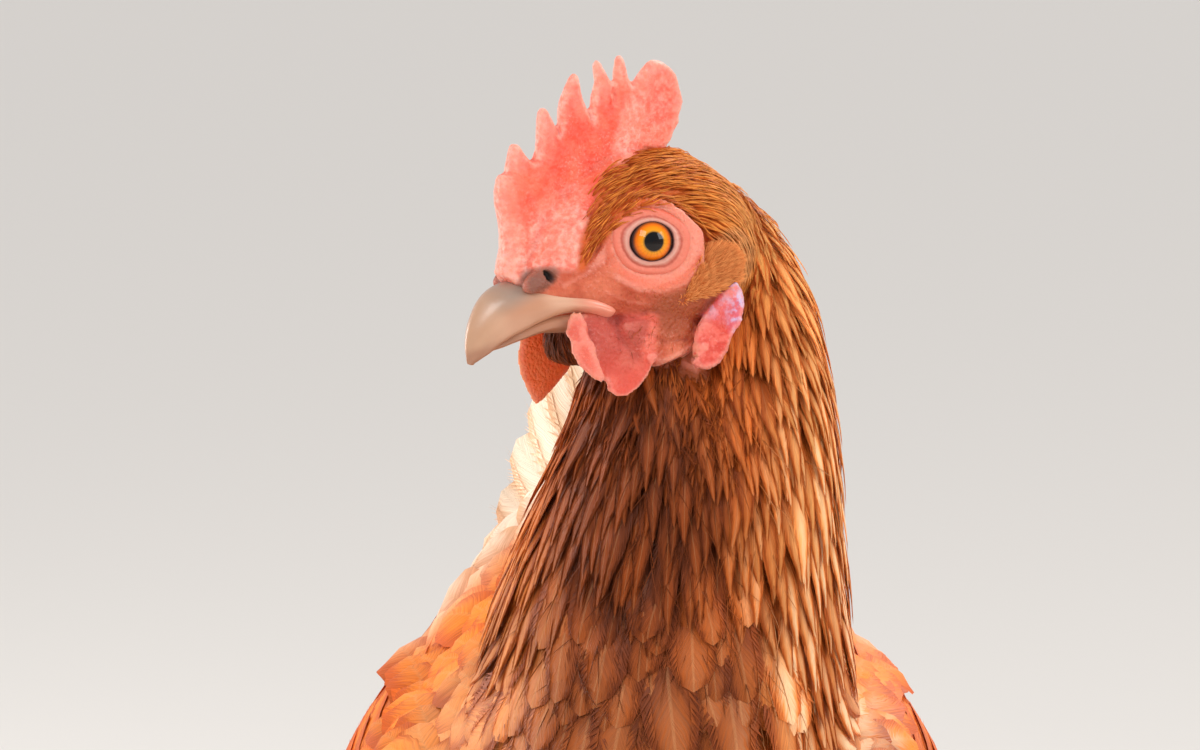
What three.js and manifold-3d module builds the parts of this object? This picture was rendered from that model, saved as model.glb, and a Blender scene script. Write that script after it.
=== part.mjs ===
// A life-size brown laying hen, standing upright with its head turned to its right.
// Millimetres, +Z up. The hen faces -Y and its own left side is on +X.
import * as THREE from "three";
import { mergeVertices } from "three/addons/utils/BufferGeometryUtils.js";
import Module from "manifold-3d";

const wasm = await Module();
wasm.setup();

// ---- driving sizes -------------------------------------------------------------------------

const GAP = 0.3; // air between two touching sub-parts
const EYE_HEIGHT = 352; // the eyes above the floor
const HEAD_YAW = THREE.MathUtils.degToRad(58); // how far the head is turned to the hen's right
const HEAD_PLACE = new THREE.Vector3(-4.9, -85.5, EYE_HEIGHT); // midway between the eyes
const FOOT_SPREAD = 41; // each foot from the middle plane
const FOOT_FORWARD = 6; // the feet along Y
const SHANK_RISE = 104; // the hock above the floor
const VANE_THICK = 0.9; // a feather's blade, with its barbs
const VANE_GAP = 0.15; // half the air between two vanes of one row
const LEFT = 1;
const RIGHT = -1;
const BOTH = [LEFT, RIGHT];
const SIDE_NAMES = new Map([[LEFT, "left"], [RIGHT, "right"]]);
const radians = THREE.MathUtils.degToRad;

const COLOURS = {
  coat: 0xa8562a,
  hackle: 0x9a4a22,
  flight: 0xc98a5a,
  tail: 0xe2c3a4,
  skin: 0xd9604e,
  comb: 0xe8685a,
  horn: 0xcdb39c,
  lobe: 0xdb7f86,
  eye: 0xd98a1c,
  leg: 0xd8b27a,
  claw: 0xb9a68c,
};

// ---- solids and meshes ---------------------------------------------------------------------

/** A closed manifold-3d solid from a three.js geometry. */
function solid(geometry) {
  const bare = geometry.clone();
  bare.deleteAttribute("normal");
  bare.deleteAttribute("uv");
  const merged = mergeVertices(bare, 1e-3);
  return new wasm.Manifold(
    new wasm.Mesh({
      numProp: 3,
      vertProperties: new Float32Array(merged.attributes.position.array),
      triVerts: new Uint32Array(merged.index.array),
    }),
  );
}

/** The largest closed surface of a solid, without scraps that a cut leaves behind. */
function largest(body) {
  const pieces = body.decompose();
  pieces.sort((a, b) => b.volume() - a.volume());
  return pieces[0];
}

/** Joins solids into one. */
function join(bodies) {
  return bodies.reduce((whole, body) => whole.add(body));
}

/** Takes every cutter away from a solid and keeps the largest piece. */
function cutClear(body, cutters) {
  return largest(cutters.reduce((left, cutter) => left.subtract(cutter), body));
}

/** A named mesh of one sub-part. */
function subPart(name, body, colour, roughness = 0.7) {
  const mesh = body.getMesh();
  const geometry = new THREE.BufferGeometry();
  geometry.setAttribute(
    "position",
    new THREE.BufferAttribute(new Float32Array(mesh.vertProperties), 3),
  );
  geometry.setIndex(new THREE.BufferAttribute(new Uint32Array(mesh.triVerts), 1));
  geometry.computeVertexNormals();
  const material = new THREE.MeshStandardMaterial({ color: colour, roughness, metalness: 0 });
  const made = new THREE.Mesh(geometry, material);
  made.name = name;
  return made;
}

// ---- lofted bodies -------------------------------------------------------------------------

/** A body lofted through stations. Each station is [x, y, z, half width, over, under]. */
class Loft {
  constructor(stations, sideways, { sides = 16, steps = 16 } = {}) {
    this.path = new THREE.CatmullRomCurve3(
      stations.map(([x, y, z]) => new THREE.Vector3(x, y, z)),
    );
    this.sizes = new THREE.CatmullRomCurve3(
      stations.map(([, , , wide, over, under]) => new THREE.Vector3(wide, over, under)),
    );
    this.sideways = new THREE.Vector3(...sideways);
    this.sides = sides;
    this.steps = steps;
  }

  /** The ring at t from 0 to 1: its centre, its two axes, its tangent and its half sizes. */
  ring(t) {
    const along = this.path.getTangent(t);
    const lean = this.sideways.dot(along);
    const across = this.sideways.clone().addScaledVector(along, -lean).normalize();
    const over = new THREE.Vector3().crossVectors(across, along).normalize();
    return { centre: this.path.getPoint(t), along, across, over, size: this.sizes.getPoint(t) };
  }

  /** A point of the surface at t and an angle from the sideways axis, pushed out by some distance. */
  point(t, angle, out = 0) {
    const ring = this.ring(t);
    const c = Math.cos(angle);
    const s = Math.sin(angle);
    const tall = s > 0 ? ring.size.y : ring.size.z;
    return ring.centre
      .addScaledVector(ring.across, (ring.size.x + out) * c)
      .addScaledVector(ring.over, (tall + out) * s);
  }

  /** The direction straight out of the surface, from the two surface tangents. */
  outward(t, angle) {
    const e = 0.01;
    const low = Math.max(t - e, 0);
    const high = Math.min(t + e, 1);
    const along = this.point(high, angle).sub(this.point(low, angle));
    const around = this.point(t, angle + e).sub(this.point(t, angle - e));
    return around.cross(along).normalize().negate();
  }

  /** The body as geometry, grown on every side by some distance. */
  geometry(grow = 0, shape = null) {
    const made = new THREE.CylinderGeometry(1, 1, 1, this.sides, this.steps);
    const spots = made.attributes.position;
    for (let i = 0; i < spots.count; i++) {
      const t = spots.getY(i) + 0.5;
      const ring = this.ring(t);
      const x = spots.getX(i);
      const z = spots.getZ(i);
      const swell = shape ? shape(t, z) : 0;
      const tall = (z > 0 ? ring.size.y : ring.size.z) + grow + swell;
      const spot = ring.centre
        .addScaledVector(ring.along, grow * (2 * t - 1))
        .addScaledVector(ring.across, (ring.size.x + grow + swell) * x)
        .addScaledVector(ring.over, tall * z);
      spots.setXYZ(i, spot.x, spot.y, spot.z);
    }
    return made;
  }

  solid(grow = 0, shape = null) {
    return solid(this.geometry(grow, shape));
  }
}

/** An ellipsoid at a place with three half sizes, bent by an optional function of its points. */
function egg(place, sizes, { across = 16, down = 12, bend = null, turn = null } = {}) {
  const made = new THREE.SphereGeometry(1, across, down);
  if (bend) {
    const spots = made.attributes.position;
    for (let i = 0; i < spots.count; i++) {
      const spot = bend(new THREE.Vector3().fromBufferAttribute(spots, i));
      spots.setXYZ(i, spot.x, spot.y, spot.z);
    }
  }
  made.scale(...sizes);
  if (turn) made.applyQuaternion(new THREE.Quaternion().setFromEuler(new THREE.Euler(...turn)));
  return made.translate(...place);
}

// ---- feather vanes -------------------------------------------------------------------------

/** A rounded feather's share of its full half width, from root (0) to tip (1). */
const roundTip = (t) => (0.4 + 0.6 * Math.sin((Math.PI / 2) * Math.min(1, 2.5 * t))) * (1 - 0.55 * t ** 8);
/** A lance-shaped feather's share of its full half width. */
const lanceTip = (t) => 0.25 + 0.75 * Math.sin(Math.PI * (0.15 + 0.8 * t)) - 0.2 * t ** 3;

/**
 * A flat, tapering blade along a route. The route gives a point at t from 0 to 1, facing the way
 * it faces there and reach its half width. Roll tips the blade about its length, so that
 * neighbours step like shingles.
 */
function vane({ route, facing, reach, profile, roll = 0, segments = 4 }) {
  const corners = [];
  for (let i = 0; i <= segments; i++) {
    const t = i / segments;
    const middle = route(t);
    const ahead = route(Math.min(1, t + 0.02));
    const behind = route(Math.max(0, t - 0.02));
    const along = ahead.sub(behind).normalize();
    const face = facing(t).clone().applyAxisAngle(along, roll);
    const across = new THREE.Vector3().crossVectors(along, face).normalize();
    const up = new THREE.Vector3().crossVectors(across, along).normalize();
    const half = Math.max(0.5, reach(t) * profile(t));
    const lift = (VANE_THICK / 2) * (1 - 0.3 * t);
    for (const [side, level] of [[-1, 1], [1, 1], [1, -1], [-1, -1]]) {
      corners.push(
        middle.clone().addScaledVector(across, side * half).addScaledVector(up, level * lift),
      );
    }
  }
  return solid(strip(corners, segments));
}

/**
 * A row of vanes side by side. Each is as wide as half way to its nearer neighbour allows, and at
 * most its full width. A ring's last vane has the first one as its neighbour.
 */
function row(routes, facings, { width, profile, roll, segments, ring = false }) {
  const neighbours = (i) => {
    const count = routes.length;
    const around = ring ? [(i + 1) % count, (i + count - 1) % count] : [i + 1, i - 1];
    return around.map((k) => routes[k]).filter(Boolean);
  };
  return routes.map((route, i) => {
    const reach = (t) => {
      const here = route(t);
      const spaces = neighbours(i).map((other) => other(t).distanceTo(here) / 2 - VANE_GAP);
      return Math.min(width / 2, ...spaces);
    };
    return vane({ route, facing: facings[i], reach, profile, roll, segments });
  });
}

/** A closed strip with four corners to a ring. Both wide faces are split the same way. */
function strip(corners, segments) {
  const faces = [];
  const quad = (a, b, c, d) => faces.push(a, b, c, a, c, d);
  for (let i = 0; i < segments; i++) {
    const [a, b, c, d] = [0, 1, 2, 3].map((k) => 4 * i + k);
    quad(a, b, b + 4, a + 4);
    quad(b, c, c + 4, b + 4);
    faces.push(c, d, c + 4, c + 4, d, d + 4);
    quad(d, a, a + 4, d + 4);
  }
  const end = 4 * segments;
  quad(3, 2, 1, 0);
  quad(end, end + 1, end + 2, end + 3);
  const made = new THREE.BufferGeometry().setFromPoints(corners);
  made.setIndex(alikeFaces(faces, segments));
  return made;
}

/** Turns the underside's diagonals to match those of the top face. */
function alikeFaces(faces, segments) {
  const perSegment = 24;
  const made = [...faces];
  for (let i = 0; i < segments; i++) {
    const [c, d] = [4 * i + 2, 4 * i + 3];
    // The top face's diagonal runs from corner a to corner b of the next ring, and so the
    // underside's runs from d to c of the next ring.
    made.splice(i * perSegment + 12, 6, c, d, c + 4, d, d + 4, c + 4);
  }
  return made;
}

// ---- torso ---------------------------------------------------------------------------------

const BREAST_FRONT = -120;
const torso = new Loft(
  [
    [0, BREAST_FRONT, 204, 5, 6, 8],
    [0, -114, 204, 24, 24, 28],
    [0, -98, 203, 40, 44, 51],
    [0, -70, 200, 51, 64, 71],
    [0, -30, 197, 58, 74, 79],
    [0, 10, 196, 63, 74, 80],
    [0, 50, 199, 63, 76, 76],
    [0, 85, 209, 57, 78, 67],
    [0, 115, 226, 47, 72, 53],
    [0, 138, 246, 33, 53, 40],
    [0, 152, 258, 12, 23, 20],
  ],
  [1, 0, 0],
  { sides: 22, steps: 16 },
);

/** The share of the torso's path that lies at some distance along Y. */
function torsoShareAt(y) {
  let low = 0;
  let high = 1;
  for (let i = 0; i < 20; i++) {
    const middle = (low + high) / 2;
    if (torso.path.getPoint(middle).y < y) low = middle;
    else high = middle;
  }
  return low;
}

/** Moves a point out from the torso's path, some distance clear of the torso and folded arms. */
function clearOfBody(spot, distance) {
  const t = torsoShareAt(spot.y);
  const { centre, size } = torso.ring(t);
  const rise = spot.z - centre.z;
  const bare = rise > 0 ? size.y : size.z;
  const angle = Math.atan2(rise / bare, Math.abs(spot.x) / size.x);
  const above = distance + padHeight(t, angle);
  const reach = Math.hypot(spot.x / (size.x + above), rise / (bare + above));
  if (reach >= 1) return spot;
  return new THREE.Vector3(spot.x / reach, spot.y, centre.z + rise / reach);
}

// ---- neck and its hackle -------------------------------------------------------------------

const neck = new Loft(
  [
    [1, -52, 222, 44, 56, 46],
    [2, -56, 238, 39, 52, 47],
    [3.2, -60, 252, 35, 46, 46],
    [4.8, -64, 268, 32.4, 40, 38],
    [6.8, -68, 284, 29.6, 33, 31],
    [8.8, -71, 298, 26.4, 28.5, 27],
    [10.6, -72, 311, 23.6, 26, 24.5],
    [11, -72, 325, 21.6, 23.5, 22.5],
    [11, -71, 338, 19, 17, 19],
    [10.4, -70.5, 349, 15, 12, 15],
    [9.2, -71, 357, 10.2, 8, 10],
    [7.7, -72.5, 363, 3, 3, 3],
  ],
  [1, 0, 0],
  { sides: 14, steps: 12 },
);

// Each tier's start along the neck, its drop along it, its feathers and their width and level.
const HACKLE_TIERS = [
  { start: 0.42, drop: 0.33, count: 12, width: 20, level: 0.9, segments: 3 },
  { start: 0.56, drop: 0.3, count: 10, width: 17, level: 2.2, segments: 3 },
  { start: 0.68, drop: 0.25, count: 8, width: 15, level: 3.4, segments: 3 },
];
const ROOT_SHARE = 0.2; // the share of a vane that rises out of what it grows from
const ROOT_DEPTH = 1.6;

/** The height of a vane above what it grows from: sunk at its root, level from there on. */
function vaneLevel(t, level) {
  const risen = Math.min(1, t / ROOT_SHARE);
  return -ROOT_DEPTH + (level + ROOT_DEPTH) * risen;
}

/** A hackle feather's route, hanging down the neck and out over the shoulders. */
function hackleRoute({ start, drop, level }, angle, longer) {
  return (t) => {
    const along = Math.max(0.005, start - drop * longer * t);
    const spot = neck.point(along, angle, vaneLevel(t, level));
    return t > ROOT_SHARE ? clearOfBody(spot, level) : spot;
  };
}

function hackles() {
  return HACKLE_TIERS.flatMap((tier, number) => {
    const numbers = Array.from({ length: tier.count }, (_, i) => i);
    const angles = numbers.map((i) => (2 * Math.PI * (i + 0.5 * (number % 2))) / tier.count);
    const routes = numbers.map((i) => hackleRoute(tier, angles[i], 1 + 0.06 * Math.sin(5 * i)));
    const facings = angles.map((angle) => (t) => {
      return neck.outward(Math.max(0.01, tier.start - tier.drop * t), angle);
    });
    const look = { ...tier, profile: lanceTip, roll: 0.06, ring: true };
    return row(routes, facings, look);
  });
}

// ---- wings ---------------------------------------------------------------------------------

/** A point on the hen's side: t along the torso, angle up from its widest line, on either side. */
function flank(side, t, angle, out) {
  return torso.point(t, side === LEFT ? angle : Math.PI - angle, out);
}

function flankOutward(side, t, angle) {
  return torso.outward(t, side === LEFT ? angle : Math.PI - angle);
}

const WING = { start: 0.26, end: 0.72, low: -0.24, high: 0.68, thick: 5, sunk: 3 };
const WING_TILT = 0.12; // the rise of the folded wing's middle line towards its rear
const WING_TAPER = 0.25; // how much narrower the folded arm is at its rear

/** The folded arm and small coverts: a lens that follows the flank. */
function wingPad(side, grow = 0) {
  const made = new THREE.SphereGeometry(1, 12, 7);
  const spots = made.attributes.position;
  for (let i = 0; i < spots.count; i++) {
    const [x, y, z] = [spots.getX(i), spots.getY(i), spots.getZ(i)];
    const t = WING.start + ((WING.end - WING.start) * (z + 1)) / 2;
    const middle = (WING.low + WING.high) / 2 + WING_TILT * z;
    const angle = middle + ((WING.high - WING.low) / 2) * y * (1 - WING_TAPER * z);
    const spot = flank(side, t, angle, x > 0 ? (WING.thick + grow) * x : WING.sunk * x);
    spots.setXYZ(i, spot.x, spot.y, spot.z);
  }
  return solid(facingOut(made));
}

/** A geometry with its faces pointing out, whichever way bending has left them. */
function facingOut(geometry) {
  const bare = geometry.clone();
  bare.deleteAttribute("normal");
  bare.deleteAttribute("uv");
  const merged = mergeVertices(bare, 1e-3);
  return signedVolume(merged) < 0 ? turnedInsideOut(merged) : merged;
}

function signedVolume(geometry) {
  const corner = (i) => new THREE.Vector3().fromBufferAttribute(geometry.attributes.position, i);
  const index = geometry.index.array;
  let total = 0;
  for (let i = 0; i < index.length; i += 3) {
    total += corner(index[i]).dot(corner(index[i + 1]).cross(corner(index[i + 2])));
  }
  return total / 6;
}

/** The same geometry with every face turned round. */
function turnedInsideOut(geometry) {
  const made = geometry.clone();
  const index = made.index.array;
  for (let i = 0; i < index.length; i += 3) {
    [index[i + 1], index[i + 2]] = [index[i + 2], index[i + 1]];
  }
  return made;
}

/** The height of the folded arm above the torso at t and an angle. */
function padHeight(t, angle) {
  const z = (2 * (t - WING.start)) / (WING.end - WING.start) - 1;
  const middle = (WING.low + WING.high) / 2 + WING_TILT * z;
  const y = (2 * (angle - middle)) / (WING.high - WING.low) / (1 - WING_TAPER * z);
  return WING.thick * Math.sqrt(Math.max(0, 1 - y * y - z * z));
}

// The primaries, the secondaries and the greater and median coverts: each tier's level above the
// arm, and its lowest and highest feather's root and tip as [t, angle].
const WING_TIERS = [
  {
    count: 4, width: 16, level: 0.9, segments: 3,
    roots: [[0.6, -0.06], [0.62, 0.16]], tips: [[0.82, 0.04], [0.89, 0.3]],
  },
  {
    count: 6, width: 22, level: 2.2, segments: 3,
    roots: [[0.44, -0.08], [0.5, 0.5]], tips: [[0.68, -0.04], [0.82, 0.64]],
  },
  {
    count: 6, width: 22, level: 3.5, segments: 2,
    roots: [[0.36, -0.06], [0.4, 0.5]], tips: [[0.54, -0.06], [0.63, 0.64]],
  },
  {
    count: 5, width: 22, level: 4.8, segments: 2,
    roots: [[0.31, -0.02], [0.33, 0.42]], tips: [[0.44, -0.04], [0.48, 0.54]],
  },
];

const blend = (a, b, s) => [a[0] + (b[0] - a[0]) * s, a[1] + (b[1] - a[1]) * s];

function wingFeathers(side) {
  return WING_TIERS.flatMap(({ count, width, level, segments, roots, tips }) => {
    const numbers = Array.from({ length: count }, (_, i) => i);
    const places = numbers.map((i) => {
      const root = blend(...roots, i / (count - 1));
      const tip = blend(...tips, i / (count - 1));
      return (t) => [root[0] + (tip[0] - root[0]) * t, root[1] + (tip[1] - root[1]) * t ** 1.4];
    });
    const routes = places.map((place) => (t) => {
      const here = place(t);
      return flank(side, ...here, padHeight(...here) + vaneLevel(t, level));
    });
    const facings = places.map((place) => (t) => flankOutward(side, ...place(t)));
    return row(routes, facings, { width, profile: roundTip, roll: side * 0.06, segments });
  });
}

function wing(side) {
  const body = join([wingPad(side), ...wingFeathers(side)]);
  const cutters = [torso.solid(GAP), thigh(side, GAP), neck.solid(GAP)];
  return subPart(`wing_${SIDE_NAMES.get(side)}`, cutClear(body, cutters), COLOURS.flight);
}

// ---- tail ----------------------------------------------------------------------------------

const TAIL_ROOT = new THREE.Vector3(0, 138, 268);
const tailCore = new Loft(
  [
    [0, 124, 266, 18, 16, 18],
    [0, 142, 277, 15, 13, 16],
    [0, 158, 289, 8, 8, 9],
    [0, 168, 297, 2, 2, 2],
  ],
  [1, 0, 0],
  { sides: 12, steps: 5 },
);

const RIDGE_RISE = radians(50); // the tent's ridge above level
const TENT_LEAN = radians(30); // each side of the tent from upright
const RIDGE_SPREAD = 6; // how far the tips open away from the ridge
const TAIL_TIERS = [
  // pairs, the top and the lowest feather's length, way down the tent at the root and fan angle
  { pairs: 7, length: [112, 88], down: [2.4, 24], fan: [2, 36], width: 24, over: 0, ahead: 0 },
  { pairs: 5, length: [62, 46], down: [3.4, 23], fan: [3, 38], width: 22, over: 1.7, ahead: -8 },
];

/** The directions that one side of the tent is built on: its ridge, its way down and its facing. */
function tentSide(side) {
  const ridge = new THREE.Vector3(0, Math.cos(RIDGE_RISE), Math.sin(RIDGE_RISE));
  const down = new THREE.Vector3(side * Math.sin(TENT_LEAN), 0, -Math.cos(TENT_LEAN));
  const facing = new THREE.Vector3().crossVectors(down, ridge).multiplyScalar(side).normalize();
  return { ridge, down, facing };
}

/** The route of one tail feather. Share is 0 at the ridge and 1 at the lowest feather. */
function tailRoute(tier, share, { ridge, down, facing }) {
  const mix = ([a, b]) => a + (b - a) * share;
  const fan = radians(mix(tier.fan));
  const heading = ridge.clone().multiplyScalar(Math.cos(fan)).addScaledVector(down, Math.sin(fan));
  const root = TAIL_ROOT.clone()
    .addScaledVector(down, mix(tier.down))
    .addScaledVector(facing, tier.over)
    .add(new THREE.Vector3(0, tier.ahead, 0));
  return (t) =>
    root
      .clone()
      .addScaledVector(heading, mix(tier.length) * t)
      .addScaledVector(down, RIDGE_SPREAD * t);
}

function tailFeathers(side) {
  const tent = tentSide(side);
  return TAIL_TIERS.flatMap((tier) => {
    const shares = Array.from({ length: tier.pairs }, (_, i) => i / (tier.pairs - 1));
    const routes = shares.map((share) => tailRoute(tier, share, tent));
    const facings = shares.map(() => () => tent.facing);
    const look = { width: tier.width, profile: roundTip, roll: side * 0.05, segments: 3 };
    return row(routes, facings, look);
  });
}

function tail() {
  const body = join([tailCore.solid(), ...BOTH.flatMap(tailFeathers)]);
  return subPart("tail", cutClear(body, [torso.solid(GAP)]), COLOURS.tail);
}

// ---- head ----------------------------------------------------------------------------------

/** A station of a body in the head: forward and up of the point between the eyes. */
const headStation = (forward, up, wide, over, under) => [0, -forward, up, wide, over, under];
const HEADWARDS = [-1, 0, 0];

const skull = new Loft(
  [
    headStation(-27, -3, 5, 6, 6),
    headStation(-23, -3, 12, 13, 13),
    headStation(-14, -3, 15.5, 19, 18),
    headStation(-4, -3, 15.5, 20, 19),
    headStation(5, -4.5, 13.5, 18, 16),
    headStation(12, -6.5, 10.5, 14.5, 12),
    headStation(18, -9, 8, 10, 8.5),
    headStation(22, -11, 6, 5.5, 6),
    headStation(24, -12, 3.5, 3, 3.5),
  ],
  HEADWARDS,
  { sides: 14, steps: 9 },
);

const upperBeak = new Loft(
  [
    headStation(7, -10, 10.9, 3, 3.4),
    headStation(16, -9.5, 8.9, 5, 4.9),
    headStation(23, -10, 6.6, 4.9, 5.8),
    headStation(28.5, -12.4, 4.9, 5, 4.8),
    headStation(32.4, -16.6, 3.2, 3, 2.9),
    headStation(34.2, -20, 1.8, 1.6, 1.5),
    headStation(34.7, -22.4, 0.5, 0.5, 0.5),
  ],
  HEADWARDS,
  { sides: 10, steps: 9 },
);

const lowerBeak = new Loft(
  [
    headStation(5, -14.6, 10, 2, 2),
    headStation(14, -15.4, 8, 2.4, 1.9),
    headStation(22, -17, 5.6, 2.6, 1.9),
    headStation(28, -19, 3.3, 2.2, 1.5),
    headStation(31.4, -20.8, 1, 0.6, 0.6),
  ],
  HEADWARDS,
  { sides: 10, steps: 6 },
);

const EYE = { radius: 5.4, out: 10.2, forward: 0, up: 0 };
const eyePlace = (side) => [side * EYE.out, -EYE.forward, EYE.up];

/** The mound of skin round an eye, out of which the lids open. */
function lidMound(side) {
  return solid(egg([side * 9.6, -EYE.forward, EYE.up], [6.5, 7.6, 7], { across: 12, down: 8 }));
}

/** The almond-shaped opening between the lids, long towards the beak. */
function lidOpening(side) {
  const turn = [0.15, 0, 0];
  return solid(egg([side * 15.6, -EYE.forward, EYE.up], [5, 5, 4.2], { across: 10, down: 7, turn }));
}

function eyeball(side, grow = 0) {
  const r = EYE.radius + grow;
  return solid(egg(eyePlace(side), [r, r, r], { across: 12, down: 8 }));
}

const EAR_TUFT = { place: [14.2, 17, -3.4], sizes: [2.6, 5.6, 5.2] };

/** The tuft of stiff feathers in front of the ear's opening. */
function earTuft(side, grow = 0) {
  const [out, back, up] = EAR_TUFT.place;
  const sizes = EAR_TUFT.sizes.map((size) => size + grow);
  return egg([side * out, back, up], sizes, { across: 10, down: 6 });
}

/** The cup of the ear, hollowed behind the tuft. */
function earCup(side) {
  return solid(egg([side * 16.4, 20.6, -3], [2.6, 2, 2.6], { across: 7, down: 5 }));
}

function nostril(side) {
  return solid(egg([side * 6.6, -20, -7.2], [2.4, 1.6, 0.7], { across: 8, down: 6 }));
}

/** The line of the mouth, carried on behind the beak into the cheek. */
function mouthCorner(side) {
  return solid(egg([side * 12.6, -6, -12.8], [3.4, 4.2, 0.6], { across: 7, down: 4 }));
}

/** The horn flap above the nostril. */
function nostrilFlap(side) {
  return solid(egg([side * 5, -20.5, -5.6], [2.6, 4, 2], { across: 8, down: 6 }));
}

function headSolid() {
  const raised = BOTH.flatMap((side) => [lidMound(side), solid(earTuft(side)), nostrilFlap(side)]);
  const hollows = BOTH.flatMap((side) => [
    eyeball(side, GAP),
    lidOpening(side),
    earCup(side),
    nostril(side),
    mouthCorner(side),
  ]);
  const beak = [upperBeak.solid(GAP), lowerBeak.solid(GAP)];
  return cutClear(join([skull.solid(), ...raised]), [...hollows, ...beak]);
}

// The comb's spikes and the notches behind them, as forward and up of the point between the eyes.
const COMB_SPIKES = [
  { peak: [25.6, 13], notch: [23.8, 13.2] },
  { peak: [22.6, 18.6], notch: [19.8, 15.8] },
  { peak: [17.2, 25.2], notch: [14.6, 21.8] },
  { peak: [10.4, 31.6], notch: [7.4, 24.4] },
  { peak: [5.4, 34.2], notch: [2.6, 29.8] },
  { peak: [0.9, 35.2], notch: [-1.9, 29.6] },
];
const COMB_FRONT = [[-6, 6], [8, 2], [19, -9], [24.6, -9], [26.2, -5], [26.6, 4], [26.2, 9]];
const COMB_BLADE = [
  [-4.8, 33.8],
  [-7.4, 34.4],
  [-10.6, 32.6],
  [-12.4, 28.4],
  [-11.6, 22],
  [-9, 17.6],
  [-6, 12],
];

/** The comb's outline: the front edge, the spikes and the rounded blade behind them. */
function combOutline() {
  const shape = new THREE.Shape();
  shape.moveTo(...COMB_FRONT[0]);
  shape.splineThru(COMB_FRONT.slice(1).map((p) => new THREE.Vector2(...p)));
  for (const { peak, notch } of COMB_SPIKES) {
    shape.lineTo(peak[0] + 0.7, peak[1] - 0.9);
    shape.quadraticCurveTo(peak[0], peak[1] + 0.6, peak[0] - 0.7, peak[1] - 0.9);
    shape.lineTo(...notch);
  }
  shape.splineThru(COMB_BLADE.map((p) => new THREE.Vector2(...p)));
  return shape;
}

const COMB = { foot: 3, top: 1, low: -4, high: 32 };

function combSolid() {
  const made = new THREE.ExtrudeGeometry(combOutline(), {
    depth: 1,
    bevelEnabled: false,
    curveSegments: 3,
  });
  const spots = made.attributes.position;
  for (let i = 0; i < spots.count; i++) {
    const [forward, up, side] = [spots.getX(i), spots.getY(i), spots.getZ(i) - 0.5];
    const height = THREE.MathUtils.clamp((up - COMB.low) / (COMB.high - COMB.low), 0, 1);
    const half = COMB.foot + (COMB.top - COMB.foot) * height;
    spots.setXYZ(i, -side * 2 * half, -forward, up);
  }
  return cutClear(solid(facingOut(made)), [skull.solid(GAP), upperBeak.solid(GAP)]);
}

/** A wattle: a thin lobe that hangs from the jaw, with its front margin folded outwards. */
function wattle(side) {
  const bend = ({ x, y, z }) => {
    const hung = z < 0 ? z * z : 0;
    return new THREE.Vector3(x + side * 0.5 * y * y, y * (1 - 0.35 * hung) - 0.2 * hung, z);
  };
  const lobe = egg([side * 9.4, -7.4, -22], [1.9, 8.8, 8.2], { across: 12, down: 7, bend });
  const fold = egg([side * 10.2, -14.2, -20.5], [2.3, 2.2, 7.4], { across: 8, down: 6 });
  const body = solid(lobe).add(solid(fold));
  return cutClear(body, [skull.solid(GAP), lowerBeak.solid(GAP), upperBeak.solid(GAP)]);
}

function earlobeGeometry(side, grow = 0) {
  return egg([side * 14.2, 16.6, -16.2], [2.4 + grow, 4 + grow, 10.4 + grow], {
    across: 10,
    down: 8,
    turn: [0.4, 0, 0],
  });
}

function earlobe(side) {
  return cutClear(solid(earlobeGeometry(side)), [skull.solid(GAP), solid(earTuft(side, GAP))]);
}

const headFrame = new THREE.Matrix4().compose(
  HEAD_PLACE,
  new THREE.Quaternion().setFromEuler(new THREE.Euler(0, 0, -HEAD_YAW)),
  new THREE.Vector3(1, 1, 1),
);

/** The room that the head's pieces need among the neck's feathers, set in place. */
function headClearance() {
  const grown = BOTH.flatMap((side) => [
    earlobeGeometry(side, GAP),
    earTuft(side, GAP),
    egg([side * 9.8, -8, -22.5], [3.6, 11, 10.4], { across: 10, down: 8 }),
  ]);
  return [skull.geometry(GAP), ...grown].map((piece) => solid(piece.applyMatrix4(headFrame)));
}

function head() {
  const group = new THREE.Group();
  group.position.copy(HEAD_PLACE);
  group.rotation.z = -HEAD_YAW;
  const upper = cutClear(upperBeak.solid(), BOTH.map(nostril));
  const lower = cutClear(lowerBeak.solid(), [upperBeak.solid(GAP)]);
  group.add(
    subPart("head", headSolid(), COLOURS.skin, 0.6),
    subPart("comb", combSolid(), COLOURS.comb, 0.5),
    subPart("beak_upper", upper, COLOURS.horn, 0.4),
    subPart("beak_lower", lower, COLOURS.horn, 0.4),
  );
  for (const [side, name] of SIDE_NAMES) {
    group.add(
      subPart(`eye_${name}`, eyeball(side), COLOURS.eye, 0.1),
      subPart(`wattle_${name}`, wattle(side), COLOURS.comb, 0.5),
      subPart(`earlobe_${name}`, earlobe(side), COLOURS.lobe, 0.6),
    );
  }
  return group;
}

function neckMesh() {
  const body = join([neck.solid(), ...hackles()]);
  const cutters = [torso.solid(GAP), wingPad(LEFT, GAP), wingPad(RIGHT, GAP), ...headClearance()];
  return subPart("neck", cutClear(body, cutters), COLOURS.hackle);
}

// ---- legs ----------------------------------------------------------------------------------

function thighLoft(side) {
  const x = side * FOOT_SPREAD;
  return new Loft(
    [
      [x * 0.86, 4, 186, 24, 30, 30],
      [x * 0.9, 8, 162, 25, 29, 29],
      [x * 0.95, 15, 138, 19, 21, 22],
      [x * 0.99, 22, 120, 11.5, 12, 13],
      [x, 26, 108, 7.5, 8, 8.5],
      [x, 27, 102, 4, 4.5, 4.5],
    ],
    [1, 0, 0],
    { sides: 14, steps: 8 },
  );
}

function thigh(side, grow = 0) {
  return thighLoft(side).solid(grow);
}

const HOCK = [0, 20, SHANK_RISE];
const SCUTES = 11;
const SCUTE_PROUD = 0.9;

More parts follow.
